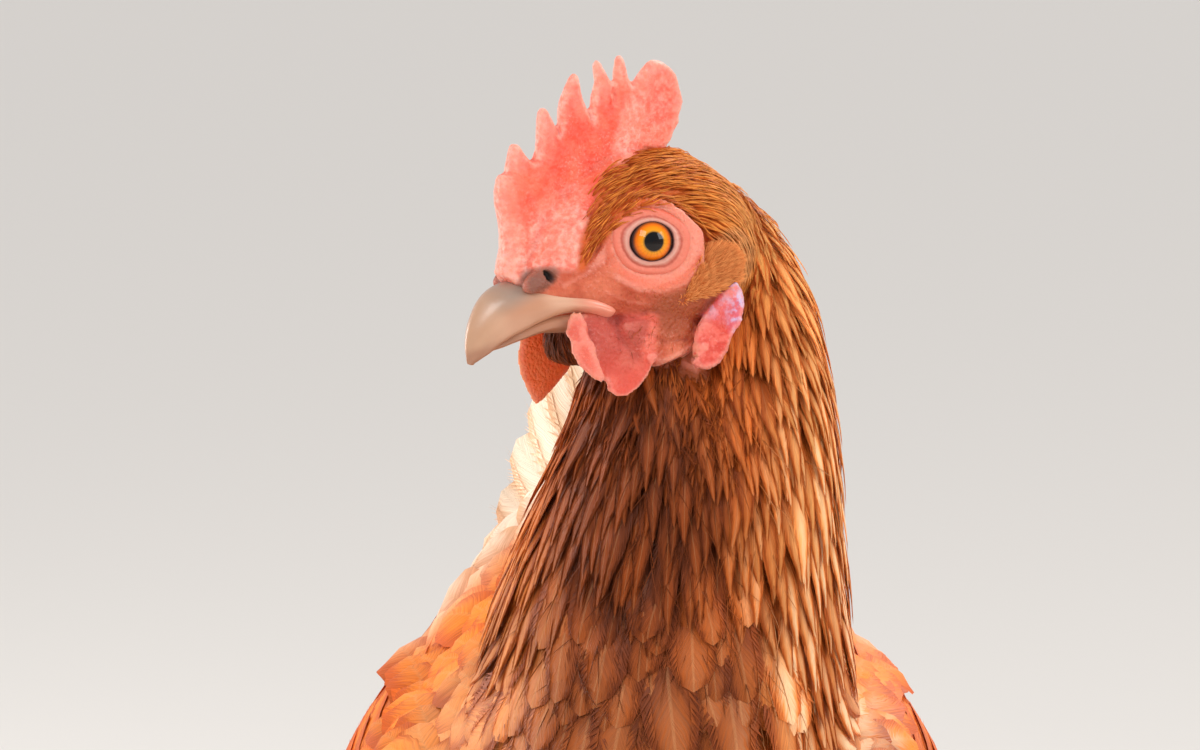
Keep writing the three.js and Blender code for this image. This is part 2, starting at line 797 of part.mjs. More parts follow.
/** The shank in its foot's frame: the hock, the bare shank and the ankle above the toes. */
const shank = new Loft(
  [
    [0, HOCK[1] + 1, HOCK[2] + 5, 5, 5, 5],
    [...HOCK, 6.6, 6.8, 6.6],
    [0, 17, 90, 5.2, 5.4, 5.6],
    [0, 11, 60, 4.3, 4.8, 5.2],
    [0, 5, 30, 4.4, 4.8, 5.2],
    [0, 1, 12, 5.6, 5.8, 5.6],
    [0, 0, 5, 6, 6.4, 6.2],
  ],
  [-1, 0, 0],
  { sides: 8, steps: 2 * SCUTES },
);

/** Scutes: each plate stands proud at its lower edge, on the front of the shank. */
const scuteSwell = (t, z) => (z > 0.2 && (t * SCUTES) % 1 > 0.4 ? SCUTE_PROUD : 0);

function onFloor(geometry) {
  const spots = geometry.attributes.position;
  for (let i = 0; i < spots.count; i++) spots.setZ(i, Math.max(0, spots.getZ(i)));
  return geometry;
}

const PAD = { wide: 9, tall: 5.4, height: 3.6 };

function footPad(grow = 0) {
  const size = [PAD.wide + grow, PAD.wide + grow, PAD.tall + grow];
  const made = egg([0, 0, PAD.height], size, { across: 10, down: 6, turn: [Math.PI / 2, 0, 0] });
  return onFloor(made);
}

const TOES = {
  middle: { length: 47, turn: 2, wide: 4.4 },
  inner: { length: 36, turn: -34, wide: 4.1 },
  outer: { length: 39, turn: 36, wide: 4.1 },
  hind: { length: 20, turn: 184, wide: 3.5 },
};
const TOE_STEPS = 8;
const TOE_PLATE = 0.4; // the plates on top of a toe stand this proud

/** Turns a digit's geometry about the ankle, to its own heading. */
function fanned(geometry, side, { turn }) {
  return geometry.rotateZ(radians(side * turn));
}

/** A toe along its heading, flat underneath, with plates on top. */
function toeGeometry(side, digit, grow = 0) {
  const { length, wide } = digit;
  const at = (share, high, size) => [0, -6 - (length - 6) * share, high, size, size * 0.95, size];
  const body = new Loft(
    [
      at(0, 4.2, wide * 0.9),
      at(0.25, 3.9, wide),
      at(0.5, 3.6, wide * 0.94),
      at(0.75, 3.3, wide * 0.9),
      at(0.95, 3, wide * 0.78),
      at(1, 2.9, wide * 0.5),
    ],
    HEADWARDS,
    { sides: 6, steps: TOE_STEPS },
  );
  const plates = (t, z) => (z > -0.1 ? TOE_PLATE * (Math.round(t * TOE_STEPS) % 2) : 0);
  return fanned(onFloor(body.geometry(grow, plates)), side, digit);
}

/** A claw that goes on from a toe's end and curves down to the floor. */
function claw(side, digit) {
  const { length, wide } = digit;
  const start = -length - 1.5 * GAP;
  const body = new Loft(
    [
      [0, start, 2.9, wide * 0.5, wide * 0.48, wide * 0.48],
      [0, start - 4, 2.8, wide * 0.44, wide * 0.42, wide * 0.4],
      [0, start - 8, 2, wide * 0.3, wide * 0.28, wide * 0.28],
      [0, start - 11.5, 0.7, 0.35, 0.35, 0.35],
    ],
    HEADWARDS,
    { sides: 6, steps: 3 },
  );
  return solid(fanned(onFloor(body.geometry()), side, digit));
}

function leg(side) {
  const name = SIDE_NAMES.get(side);
  const group = new THREE.Group();
  group.position.set(side * FOOT_SPREAD, FOOT_FORWARD, 0);
  const bone = solid(onFloor(shank.geometry(0, scuteSwell))).add(solid(footPad()));
  const grownBone = solid(shank.geometry(GAP, scuteSwell)).add(solid(footPad(GAP)));
  const thighHere = solid(
    thighLoft(side).geometry(GAP).translate(-side * FOOT_SPREAD, -FOOT_FORWARD, 0),
  );
  group.add(subPart(`shank_${name}`, cutClear(bone, [thighHere]), COLOURS.leg));
  const middleToe = solid(toeGeometry(side, TOES.middle, GAP));
  for (const [digitName, digit] of Object.entries(TOES)) {
    const cutters = digit === TOES.middle ? [grownBone] : [grownBone, middleToe];
    const toe = cutClear(solid(toeGeometry(side, digit)), cutters);
    group.add(subPart(`toe_${digitName}_${name}`, toe, COLOURS.leg));
    group.add(subPart(`claw_${digitName}_${name}`, claw(side, digit), COLOURS.claw, 0.4));
  }
  return group;
}

// ---- the hen -------------------------------------------------------------------------------

const hen = new THREE.Group();
hen.add(subPart("torso", torso.solid(), COLOURS.coat), neckMesh(), head(), tail());
for (const [side, name] of SIDE_NAMES) {
  const bareThigh = cutClear(thigh(side), [torso.solid(GAP)]);
  hen.add(wing(side), subPart(`thigh_${name}`, bareThigh, COLOURS.coat), leg(side));
}

// The origin is on the floor, under the middle of the hen's box.
const middle = new THREE.Box3().setFromObject(hen).getCenter(new THREE.Vector3());
hen.position.set(-middle.x, -middle.y, 0);

export default hen;
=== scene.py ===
"""Looks of a life-size brown laying hen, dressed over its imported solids.

The hen faces -Y with its own left side on +X, and its head is turned towards -X. One skin carries the
whole body. Feathers are thin closed vanes laid over it row by row, and the eyes, lids, bill, scaled
legs and claws are pieces of their own. Stations are written in millimetres and scaled by MM.
"""

from __future__ import annotations

import logging
import math
from collections.abc import Callable, Sequence
from dataclasses import dataclass, field, replace
from enum import Enum

import bmesh
import bpy
import numpy as np
from mathutils import Matrix, Vector
from mathutils.bvhtree import BVHTree
from mathutils.kdtree import KDTree

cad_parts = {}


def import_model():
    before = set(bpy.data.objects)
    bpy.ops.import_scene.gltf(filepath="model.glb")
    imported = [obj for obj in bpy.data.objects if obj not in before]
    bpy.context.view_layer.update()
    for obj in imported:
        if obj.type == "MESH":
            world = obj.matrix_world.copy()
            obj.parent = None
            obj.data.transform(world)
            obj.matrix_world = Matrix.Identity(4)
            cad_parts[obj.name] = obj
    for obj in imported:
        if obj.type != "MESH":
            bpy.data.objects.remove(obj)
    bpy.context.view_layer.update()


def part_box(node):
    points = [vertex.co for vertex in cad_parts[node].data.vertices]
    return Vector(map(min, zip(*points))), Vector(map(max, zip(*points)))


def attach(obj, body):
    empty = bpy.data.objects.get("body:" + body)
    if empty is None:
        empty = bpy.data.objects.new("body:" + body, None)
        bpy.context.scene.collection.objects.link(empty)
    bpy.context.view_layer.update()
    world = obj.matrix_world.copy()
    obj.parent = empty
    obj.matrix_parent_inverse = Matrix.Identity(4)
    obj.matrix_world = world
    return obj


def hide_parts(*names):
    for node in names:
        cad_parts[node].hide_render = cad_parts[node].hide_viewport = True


logging.basicConfig(level=logging.INFO, format="%(message)s")
LOG = logging.getLogger("hen")

MM = 0.001
Array = np.ndarray
Draws = np.random.Generator
BMesh = bmesh.types.BMesh
Output = bpy.types.NodeSocket
Colour = tuple[float, float, float, float]
Points = tuple[tuple[float, float], ...]


class Side(Enum):
    """The hen's own left, on +X, and its right."""

    LEFT = 1
    RIGHT = -1

    @property
    def label(self) -> str:
        """The side's name in a piece's name."""
        return self.name.lower()


def smooth(value: Array, low: float, high: float) -> Array:
    """A smooth step from 0 at low to 1 at high."""
    share = np.clip((value - low) / (high - low), 0, 1)
    return share * share * (3 - 2 * share)


def bell(value: Array, middle: float, width: float) -> Array:
    """A bell curve that is 1 at its middle."""
    return np.exp(-(((value - middle) / width) ** 2))


def unit(vectors: Array) -> Array:
    """Rows of vectors scaled to a length of 1."""
    return vectors / np.maximum(np.linalg.norm(vectors, axis=-1, keepdims=True), 1e-12)


def tint(red: float, green: float, blue: float) -> Colour:
    """A display colour from 0 to 255 as the linear colour that a shader takes."""
    parts = [c / 255 for c in (red, green, blue)]
    linear = [c / 12.92 if c <= 0.04045 else ((c + 0.055) / 1.055) ** 2.4 for c in parts]
    return (linear[0], linear[1], linear[2], 1.0)


# ---- curves and lofts ----------------------------------------------------------------------------


class Spline:
    """A centripetal Catmull-Rom spline through rows of numbers."""

    def __init__(self, rows: Sequence[Sequence[float]]) -> None:
        """Keeps the rows, with one more past each end."""
        given = np.asarray(rows, float)
        before, after = 2 * given[0] - given[1], 2 * given[-1] - given[-2]
        self.rows = np.vstack([before, given, after])
        self.last = len(given) - 1

    def at(self, share: Array) -> Array:
        """The rows' blend at shares from 0 to 1."""
        place = np.clip(np.asarray(share, float), 0, 1) * self.last
        start = np.minimum(place.astype(int), self.last - 1)
        w = (place - start)[..., None]
        a, b, c, d = (self.rows[start + k] for k in range(4))
        first, middle, final = (self._spacing(p, q) for p, q in ((a, b), (b, c), (c, d)))
        leave = ((b - a) / first - (c - a) / (first + middle) + (c - b) / middle) * middle
        arrive = ((c - b) / middle - (d - b) / (middle + final) + (d - c) / final) * middle
        square = -3 * b + 3 * c - 2 * leave - arrive
        cube = 2 * b - 2 * c + leave + arrive
        return b + leave * w + square * w**2 + cube * w**3

    @staticmethod
    def _spacing(p: Array, q: Array) -> Array:
        """The knot distance between two rows."""
        return np.maximum(np.linalg.norm(p - q, axis=-1, keepdims=True) ** 0.5, 1e-6)


def sphere(bm: BMesh, around: int, along: int) -> tuple[list[bmesh.types.BMVert], Array]:
    """Adds a sphere with a radius of 1 and returns its vertices and their places."""
    made = bmesh.ops.create_uvsphere(bm, u_segments=around, v_segments=along, radius=1.0)["verts"]
    return made, np.array([v.co for v in made])


def set_places(verts: Sequence[bmesh.types.BMVert], spots: Array) -> None:
    """Moves vertices to places."""
    for vert, spot in zip(verts, spots):
        vert.co = spot


class Loft:
    """A body lofted through stations of [x, y, z, half width, over, under], in millimetres."""

    def __init__(self, stations: Sequence[Sequence[float]], sideways: Sequence[float]) -> None:
        """Splits the stations into a path and its sizes, in metres."""
        rows = np.asarray(stations, float) * MM
        self.path = Spline(rows[:, :3])
        self.sizes = Spline(rows[:, 3:])
        self.sideways = np.asarray(sideways, float)

    def rings(self, t: Array) -> tuple[Array, Array, Array, Array]:
        """The rings at t from 0 to 1.

        Args:
            t: shares along the path.

        Returns:
            Centres, directions across and over, and half sizes.
        """
        step = 1e-4
        along = unit(self.path.at(t + step) - self.path.at(np.asarray(t) - step))
        across = unit(self.sideways - along * (along @ self.sideways)[..., None])
        return self.path.at(t), across, unit(np.cross(across, along)), self.sizes.at(t)

    def points(self, t: Array, angle: Array, out: Array | float = 0.0) -> Array:
        """Points of the surface, pushed out by some distance.

        Args:
            t: shares along the path.
            angle: angles from the sideways axis, in radians.
            out: distances out of the surface.

        Returns:
            One row for each point.
        """
        centre, across, over, size = self.rings(t)
        c, s = np.cos(angle), np.sin(angle)
        tall = np.where(s > 0, size[..., 1], size[..., 2])
        least = 0.4 * MM
        wide_reach = np.maximum(size[..., 0] + out, least) * c
        tall_reach = np.maximum(tall + out, least) * s
        return centre + across * wide_reach[..., None] + over * tall_reach[..., None]

    def shell(
        self,
        bm: BMesh,
        sides: int,
        steps: int,
        out: float = 0.0,
        shape: Callable[[Array, Array], Array] | None = None,
    ) -> list[bmesh.types.BMVert]:
        """Bends a sphere onto the loft.

        Args:
            bm: the mesh that takes the shell.
            sides: faces around.
            steps: faces along.
            out: distance out of the loft's own surface.
            shape: extra distance out at t and an angle.

        Returns:
            The new vertices.
        """
        made, round_co = sphere(bm, sides, steps)
        t = np.arccos(np.clip(-round_co[:, 2], -1, 1)) / math.pi
        angle = np.arctan2(round_co[:, 1], round_co[:, 0])
        extra = out + (shape(t, angle) if shape else 0.0)
        spots = self.points(t, angle, extra)
        poles = np.hypot(round_co[:, 0], round_co[:, 1]) < 1e-6
        spots[poles] = self.path.at(t[poles])
        set_places(made, spots)
        return made

    def length(self, low: float = 0.0, high: float = 1.0) -> float:
        """The path's length between two shares."""
        spots = self.path.at(np.linspace(low, high, 200))
        return float(np.linalg.norm(np.diff(spots, axis=0), axis=1).sum())

    def girth(self, t: float) -> float:
        """The distance round the ring at t."""
        angles = np.linspace(0, 2 * math.pi, 65)
        spots = self.points(np.full(65, t), angles)
        return float(np.linalg.norm(np.diff(spots, axis=0), axis=1).sum())


def egg(
    bm: BMesh,
    place: Sequence[float],
    sizes: Sequence[float],
    turn: float = 0.0,
    fine: int = 32,
) -> None:
    """Adds an ellipsoid.

    Args:
        bm: the mesh that takes it.
        place: its centre, in millimetres.
        sizes: its three half sizes, in millimetres.
        turn: its turn about x, in radians.
        fine: faces around.
    """
    made, _ = sphere(bm, fine, fine * 2 // 3)
    at = Matrix.Translation(Vector(place) * MM) @ Matrix.Rotation(turn, 4, "X")
    bmesh.ops.transform(bm, verts=made, matrix=at @ Matrix.Diagonal((*(s * MM for s in sizes), 1)))


def new_piece(name: str, bm: BMesh, frame: Matrix | None = None, flat: bool = False) -> bpy.types.Object:
    """Turns a bmesh into an object of the scene.

    Args:
        name: the piece's name.
        bm: the mesh, which is freed.
        frame: the frame that the mesh is moved into.
        flat: True keeps its faces as they are and flat.

    Returns:
        The new object.
    """
    if frame is not None:
        bmesh.ops.transform(bm, verts=bm.verts, matrix=frame)
    if not flat:
        bmesh.ops.recalc_face_normals(bm, faces=bm.faces)
    mesh = bpy.data.meshes.new(name)
    bm.to_mesh(mesh)
    bm.free()
    mesh.shade_flat() if flat else mesh.shade_smooth()
    made = bpy.data.objects.new(name, mesh)
    bpy.context.scene.collection.objects.link(made)
    return made


def baked(piece: bpy.types.Object) -> bpy.types.Object:
    """Applies every modifier of a piece to its mesh."""
    depsgraph = bpy.context.evaluated_depsgraph_get()
    old = piece.data
    piece.data = bpy.data.meshes.new_from_object(piece.evaluated_get(depsgraph))
    piece.modifiers.clear()
    bpy.data.meshes.remove(old)
    return piece


def welded(piece: bpy.types.Object, voxel: float, rounds: int) -> bpy.types.Object:
    """Welds the overlapping shells of a piece into one skin and smooths it.

    Args:
        piece: the piece.
        voxel: the grain of the new skin, in metres.
        rounds: how many times it is evened out.

    Returns:
        The same piece.
    """
    weld = piece.modifiers.new("weld", "REMESH")
    weld.mode = "VOXEL"
    weld.voxel_size = voxel
    weld.use_smooth_shade = True
    calm = piece.modifiers.new("calm", "SMOOTH")
    calm.factor = 0.5
    calm.iterations = rounds
    return baked(piece)


def spots_of(mesh: bpy.types.Mesh) -> Array:
    """The places of a mesh's vertices."""
    spots = np.empty(len(mesh.vertices) * 3)
    mesh.vertices.foreach_get("co", spots)
    return spots.reshape(-1, 3)


def normals_of(mesh: bpy.types.Mesh) -> Array:
    """The normals of a mesh's vertices."""
    normals = np.empty(len(mesh.vertices) * 3)
    mesh.vertices.foreach_get("normal", normals)
    return normals.reshape(-1, 3)


def move_to(mesh: bpy.types.Mesh, spots: Array) -> None:
    """Sets the places of a mesh's vertices."""
    mesh.vertices.foreach_set("co", spots.astype(np.float32).ravel())
    mesh.update()


def note(mesh: bpy.types.Mesh, name: str, values: Array) -> None:
    """Stores one number for each vertex under a name that a material reads."""
    made = mesh.attributes.new(name, "FLOAT", "POINT")
    made.data.foreach_set("value", values.astype(np.float32))


# ---- the hen's build, repeated from its solids -----------------------------------------------------

EYE_HEIGHT = 352
HEAD_YAW = math.radians(58)
HEAD_PLACE = np.array([-4.9, -85.5, EYE_HEIGHT])
BREAST_FRONT = -120
FOOT_SPREAD = 41
FOOT_FORWARD = 6
SHANK_RISE = 104

TORSO = [
    [0, BREAST_FRONT, 204, 5, 6, 8],
    [0, -114, 204, 24, 24, 28],
    [0, -98, 203, 40, 44, 51],
    [0, -70, 200, 51, 64, 71],
    [0, -30, 197, 58, 74, 79],
    [0, 10, 196, 63, 74, 80],
    [0, 50, 199, 63, 76, 76],
    [0, 85, 209, 57, 78, 67],
    [0, 115, 226, 47, 72, 53],
    [0, 138, 246, 33, 53, 40],
    [0, 152, 258, 12, 23, 20],
]
NECK = [
    [1, -52, 222, 44, 56, 46],
    [2, -56, 238, 39, 52, 47],
    [3.2, -60, 252, 35, 46, 46],
    [4.8, -64, 268, 32.4, 40, 38],
    [6.8, -68, 284, 29.6, 33, 31],
    [8.8, -71, 298, 26.4, 28.5, 27],
    [10.6, -72, 311, 23.6, 26, 24.5],
    [11, -72, 325, 21.6, 23.5, 22.5],
    [11, -71, 338, 19, 17, 19],
    [10.4, -70.5, 349, 15, 12, 15],
    [9.2, -71, 357, 10.2, 8, 10],
    [7.7, -72.5, 363, 3, 3, 3],
]
TAIL_CORE = [
    [0, 124, 266, 18, 16, 18],
    [0, 142, 277, 15, 13, 16],
    [0, 158, 289, 8, 8, 9],
    [0, 168, 297, 2, 2, 2],
]
# Forward and up of the point midway between the eyes, then half width, over and under.
SKULL = [
    [-27, -3, 5, 6, 6],
    [-23, -3, 12, 13, 13],
    [-14, -3, 15.5, 19, 18],
    [-4, -3, 15.5, 20, 19],
    [5, -4.5, 13.5, 18, 16],
    [12, -6.5, 10.5, 14.5, 12],
    [18, -9, 8, 10, 8.5],
    [22, -11, 6, 5.5, 6],
    [24, -12, 3.5, 3, 3.5],
]
UPPER_BILL = [
    [6.6, -12.7, 8.6, 1.4, 1.3],
    [9, -12.3, 10.5, 1.9, 1.6],
    [12, -11.4, 10.4, 2.2, 1.6],
    [17, -10.8, 8.9, 2.6, 2.0],
    [22, -11.2, 7.4, 4.2, 3.4],
    [27, -12.6, 5.6, 4.7, 4.6],
    [30.6, -16.0, 3.8, 3.6, 3.4],
    [32.6, -19.3, 2.3, 2.2, 1.9],
    [33.5, -21.4, 1.1, 0.9, 0.9],
    [33.7, -22.3, 0.4, 0.4, 0.4],
]
LOWER_BILL = [
    [7, -13.7, 5.8, 1.4, 2.0],
    [11, -14.0, 8.4, 2.0, 2.5],
    [13, -14.2, 8.7, 2.4, 2.8],
    [17, -14.7, 7.6, 2.6, 2.5],
    [21, -15.6, 6.3, 2.6, 1.5],
    [25, -17.2, 4.4, 2.0, 1.1],
    [28, -18.6, 2.4, 1.2, 0.9],
    [29.6, -19.5, 0.8, 0.5, 0.5],
]
EYE_RADIUS = 5.4
EYE_PLACE = (10.2, -1.0, 0.35)  # the ball's middle on the left side, in the head's frame
HEADWARDS = (-1, 0, 0)


def headed(stations: Sequence[Sequence[float]]) -> list[list[float]]:
    """Stations of the head as [x, y, z, half width, over, under] of its own frame."""
    return [[0, -forward, up, *sizes] for forward, up, *sizes in stations]


@dataclass
class Build:
    """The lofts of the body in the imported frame, and the head's own frame."""

    shift: float = field(init=False)

    def __post_init__(self) -> None:
        """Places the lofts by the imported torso's front."""
        self.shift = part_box("torso")[0].y - BREAST_FRONT * MM
        self.torso = self._placed(TORSO)
        self.neck = self._placed(NECK)
        self.tail_core = self._placed(TAIL_CORE)
        self.thighs = {side: self._placed(self._thigh_rows(side)) for side in Side}
        self.skull = Loft(headed(SKULL), HEADWARDS)
        place = Vector(HEAD_PLACE * MM) + Vector((0, self.shift, 0))
        self.head = Matrix.Translation(place) @ Matrix.Rotation(-HEAD_YAW, 4, "Z")
        self.head_turn = np.array(self.head.to_3x3())
        self.head_place = np.array(place)

    def _placed(self, stations: Sequence[Sequence[float]]) -> Loft:
        """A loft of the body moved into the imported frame."""
        rows = np.asarray(stations, float)
        rows[:, 1] += self.shift / MM
        return Loft(rows, (1, 0, 0))

    @staticmethod
    def _thigh_rows(side: Side) -> list[list[float]]:
        """The stations of one thigh."""
        x = side.value * FOOT_SPREAD
        return [
            [x * 0.86, 4, 186, 24, 30, 30],
            [x * 0.9, 8, 162, 25, 29, 29],
            [x * 0.95, 15, 138, 19, 21, 22],
            [x * 0.99, 22, 120, 11.5, 12, 13],
            [x, 26, 108, 7.5, 8, 8.5],
            [x, 27, 102, 4, 4.5, 4.5],
        ]

    def in_head(self, spots: Array) -> tuple[Array, Array, Array]:
        """Forward, sideways and up of places in the head's frame, in millimetres."""
        local = (spots - self.head_place) @ self.head_turn / MM
        return -local[:, 1], local[:, 0], local[:, 2]

    def in_place(self, spots: Array) -> Array:
        """Places of the head's frame, in metres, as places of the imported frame."""
        return self.out_of_head(spots) + self.head_place

    def out_of_head(self, vectors: Array) -> Array:
        """Directions of the head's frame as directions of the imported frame."""
        return vectors @ self.head_turn.T


# ---- shader trees ----------------------------------------------------------------------------------

Socket = Output | float | tuple


class Tree:
    """A short way to write a node tree."""

    def __init__(self, tree: bpy.types.NodeTree) -> None:
        """Starts on a tree without nodes."""
        self.tree = tree
        tree.nodes.clear()

    def node(self, kind: str, *given: Socket, named: dict[str, Socket] | None = None,
             **settings: object) -> bpy.types.Node:
        """Adds a node.

        Args:
            kind: the node type, without ShaderNode in front.
            given: values or sockets for its inputs, in their order. None leaves one as it is.
            named: values or sockets for inputs by name.
            settings: the node's own properties.

        Returns:
            The node.
        """
        made = self.tree.nodes.new(f"ShaderNode{kind}")
        for name, value in settings.items():
            setattr(made, name, value)
        for place, value in [*enumerate(given), *(named or {}).items()]:
            if isinstance(value, Output):
                self.tree.links.new(value, made.inputs[place])
            elif value is not None:
                made.inputs[place].default_value = value
        return made

    def math(self, operation: str, *given: Socket) -> Output:
        """A Math node's result."""
        return self.node("Math", *given, operation=operation).outputs[0]

    def times(self, first: Socket, second: Socket) -> Output:
        """Two values multiplied."""
        return self.math("MULTIPLY", first, second)

    def line(self, value: Socket, slope: Socket, start: Socket) -> Output:
        """A value times a slope, with a start added."""
        return self.math("MULTIPLY_ADD", value, slope, start)

    def step(self, value: Socket, low: float, high: float) -> Output:
        """A smooth step of a value, from 0 at low to 1 at high. Low may be above high."""
        first, second, lows, highs = (low, high, 0.0, 1.0) if low < high else (high, low, 1.0, 0.0)
        made = self.node("MapRange", value, first, second, lows, highs, interpolation_type="SMOOTHSTEP")
        return made.outputs[0]

    def mix(self, share: Socket, first: Socket, second: Socket) -> Output:
        """Two colours mixed by a share."""
        made = self.node("Mix", data_type="RGBA")
        for name, value in (("Factor_Float", share), ("A_Color", first), ("B_Color", second)):
            socket = next(s for s in made.inputs if s.identifier == name)
            if isinstance(value, Output):
                self.tree.links.new(value, socket)
            else:
                socket.default_value = value
        return next(s for s in made.outputs if s.identifier == "Result_Color")

    def layered(self, colour: Socket, *layers: tuple[Socket, Socket]) -> Output:
        """A colour with others laid over it, each with its share."""
        for share, other in layers:
            colour = self.mix(share, colour, other)
        return colour

    def number(self, name: str, part: float = 1.0) -> Output:
        """A number that the mesh stores under a name, or a part of it."""
        stored = self.node("Attribute", attribute_name=name).outputs["Fac"]
        return stored if part == 1.0 else self.times(stored, part)

    def place(self) -> Output:
        """The place on the object."""
        return self.node("TexCoord").outputs["Object"]

    def away(self, middle: tuple[float, float, float], reach: tuple[float, float, float]) -> Output:
        """How far a place is from a middle, 1 at the reach that is given for each axis."""
        offset = self.node("VectorMath", self.place(), middle, operation="SUBTRACT").outputs[0]
        shares = tuple(1 / r for r in reach)
        scaled = self.node("VectorMath", offset, shares, operation="MULTIPLY").outputs[0]
        return self.node("VectorMath", scaled, operation="LENGTH").outputs["Value"]

    def noise(self, scale: float, detail: float = 3.0, where: Socket | None = None) -> Output:
        """Noise from 0 to 1 with a scale in cycles for each metre."""
        vector = where if where is not None else self.place()
        named = {"Vector": vector, "Scale": scale, "Detail": detail}
        return self.node("TexNoise", named=named).outputs["Fac"]

    def axes(self) -> tuple[Output, ...]:
        """x, y and z of the place on the object."""
        return tuple(self.node("SeparateXYZ", self.place()).outputs)


class Groups:
    """The node groups that several finishes share, each built once."""

    def __init__(self) -> None:
        """Builds every group."""
        self.plumage = self._plumage()
        self.barbs = self._barbs()
        self.pebbles = self._pebbles()

    @staticmethod
    def _start(name: str, inputs: Sequence[str], outputs: Sequence[tuple[str, str]]) -> tuple:
        """A new group with float inputs and its named outputs."""
        tree = bpy.data.node_groups.new(name, "ShaderNodeTree")
        for label in inputs:
            tree.interface.new_socket(label, in_out="INPUT", socket_type="NodeSocketFloat")
        for label, kind in outputs:
            tree.interface.new_socket(label, in_out="OUTPUT", socket_type=f"NodeSocket{kind}")
        t = Tree(tree)
        return t, t.tree.nodes.new("NodeGroupInput").outputs, t.tree.nodes.new("NodeGroupOutput").inputs

    def _plumage(self) -> bpy.types.NodeTree:
        """The hen's markings by place, with painted rim light and painted shade: a feather's edge and centre
        colours and its pale streak.
        """
        outputs = [("Edge", "Color"), ("Centre", "Color"), ("Streak", "Float")]
        t, _, out = self._start("plumage", [], outputs)
        x, y, z = t.axes()
        drift = t.line(t.noise(28, 2), 0.03, -0.015)
        x = t.math("ADD", x, drift)
        z = t.math("ADD", z, drift)
        across = t.math("ABSOLUTE", t.math("SUBTRACT", x, 0.003))
        on_breast = t.times(t.step(across, 0.05, 0.036), t.step(y, -0.085, -0.112))
        cape = t.times(t.step(z, 0.216, 0.236), t.step(across, 0.054, 0.046))
        on_neck = t.times(t.math("MAXIMUM", t.step(z, 0.236, 0.262), cape), t.step(y, -0.03, -0.065))
        brown = t.math("MAXIMUM", on_breast, on_neck)
        on_head = t.step(z, 0.33, 0.345)
        # Below the jaw and on the chin the coat is dark brown: partly the feathers' own colour, partly
        # painted shade under the bill.
        below_jaw = t.step(t.away((-0.004, -0.146, 0.3), (0.022, 0.03, 0.034)), 1.3, 0.5)
        chin = t.step(t.away((-0.0135, -0.138, 0.331), (0.0115, 0.015, 0.011)), 1.2, 0.9)
        throat = t.math("MAXIMUM", below_jaw, chin)
        tuft = t.step(t.away((0.0175, -0.1365, 0.3476), (0.0066, 0.0066, 0.0062)), 1.25, 0.95)
        back = t.times(t.step(y, -0.01, 0.04), t.step(z, 0.235, 0.262))
        belly = t.step(z, 0.17, 0.13)
        low_breast = t.step(z, 0.25, 0.215)
        from_middle = t.math("ABSOLUTE", t.math("ADD", x, 0.004))
        # Painted shade: the middle of the lower neck takes the breast's darker browns, for the shadow under
        # the head.
        painted_neck_shade = t.times(t.step(z, 0.29, 0.262), t.step(from_middle, 0.036, 0.018))

        def zones(shoulder: Colour, pale: Colour, fluff: Colour, neck: Socket, breast: Colour,
                  dark: Colour, crown: Socket, velvet: Colour) -> Output:
            """The colours of every part of the coat, laid over each other."""
            front = t.mix(low_breast, t.mix(painted_neck_shade, neck, breast), breast)
            return t.layered(shoulder, (back, pale), (belly, fluff), (brown, front), (on_head, crown),
                             (throat, dark), (tuft, velvet))

        # Painted rim light: the neck's and crown's colours are painted lighter towards their right edge, more
        # so higher up, and a little towards their left edge.
        painted_rim_light = t.times(t.step(x, 0.012, 0.032), t.line(t.step(z, 0.262, 0.3), 0.62, 0.38))
        painted_light = t.math("MAXIMUM", painted_rim_light, t.times(t.step(x, -0.014, -0.03), 0.4))
        edge = zones(
            shoulder=tint(220, 94, 14), pale=tint(238, 186, 140), fluff=tint(222, 134, 62),
            neck=t.mix(painted_light, tint(174, 76, 18), tint(210, 106, 36)), breast=tint(116, 50, 14),
            dark=tint(108, 46, 12), crown=t.mix(painted_light, tint(230, 98, 24), tint(238, 132, 58)),
            velvet=tint(204, 104, 42))
        centre = zones(
            shoulder=tint(248, 134, 34), pale=tint(252, 226, 198), fluff=tint(246, 180, 112),
            neck=t.mix(painted_light, tint(222, 112, 38), tint(255, 176, 100)), breast=tint(160, 80, 30),
            dark=tint(142, 64, 18), crown=t.mix(painted_light, tint(255, 158, 66), tint(255, 188, 112)),
            velvet=tint(250, 172, 104))
        streak = t.times(on_neck, t.line(t.step(x, 0.012, 0.036), 0.75, 0.05))
        streak = t.times(streak, t.math("SUBTRACT", 1.0, throat))
        streak = t.times(streak, t.step(z, 0.34, 0.3))
        for socket, value in zip(out, (edge, centre, streak)):
            t.tree.links.new(value, socket)
        return t.tree

    def _barbs(self) -> bpy.types.NodeTree:
        """The barbs of a vane, from its own map: a value, the place across it and along it."""
        outputs = [("Value", "Float"), ("Across", "Float"), ("Along", "Float")]
        t, given, out = self._start("barbs", ["Count", "Slant"], outputs)
        mapped = t.node("UVMap", uv_map="Vane").outputs[0]
        u, v, _ = t.node("SeparateXYZ", mapped).outputs
        across = t.math("ABSOLUTE", t.line(u, 2.0, -1.0))
        slanted = t.math("SUBTRACT", v, t.times(across, given["Slant"]))
        phase = t.times(slanted, given["Count"])
        side = t.math("SIGN", t.math("SUBTRACT", u, 0.5))
        lane = t.line(t.number("tone"), 37.0, side)
        where = t.node("CombineXYZ", phase, t.times(across, 1.2), lane).outputs[0]
        value = t.step(t.noise(1.0, 2.0, where), 0.25, 0.75)
        for socket, made in zip(out, (value, across, v)):
            t.tree.links.new(made, socket)
        return t.tree

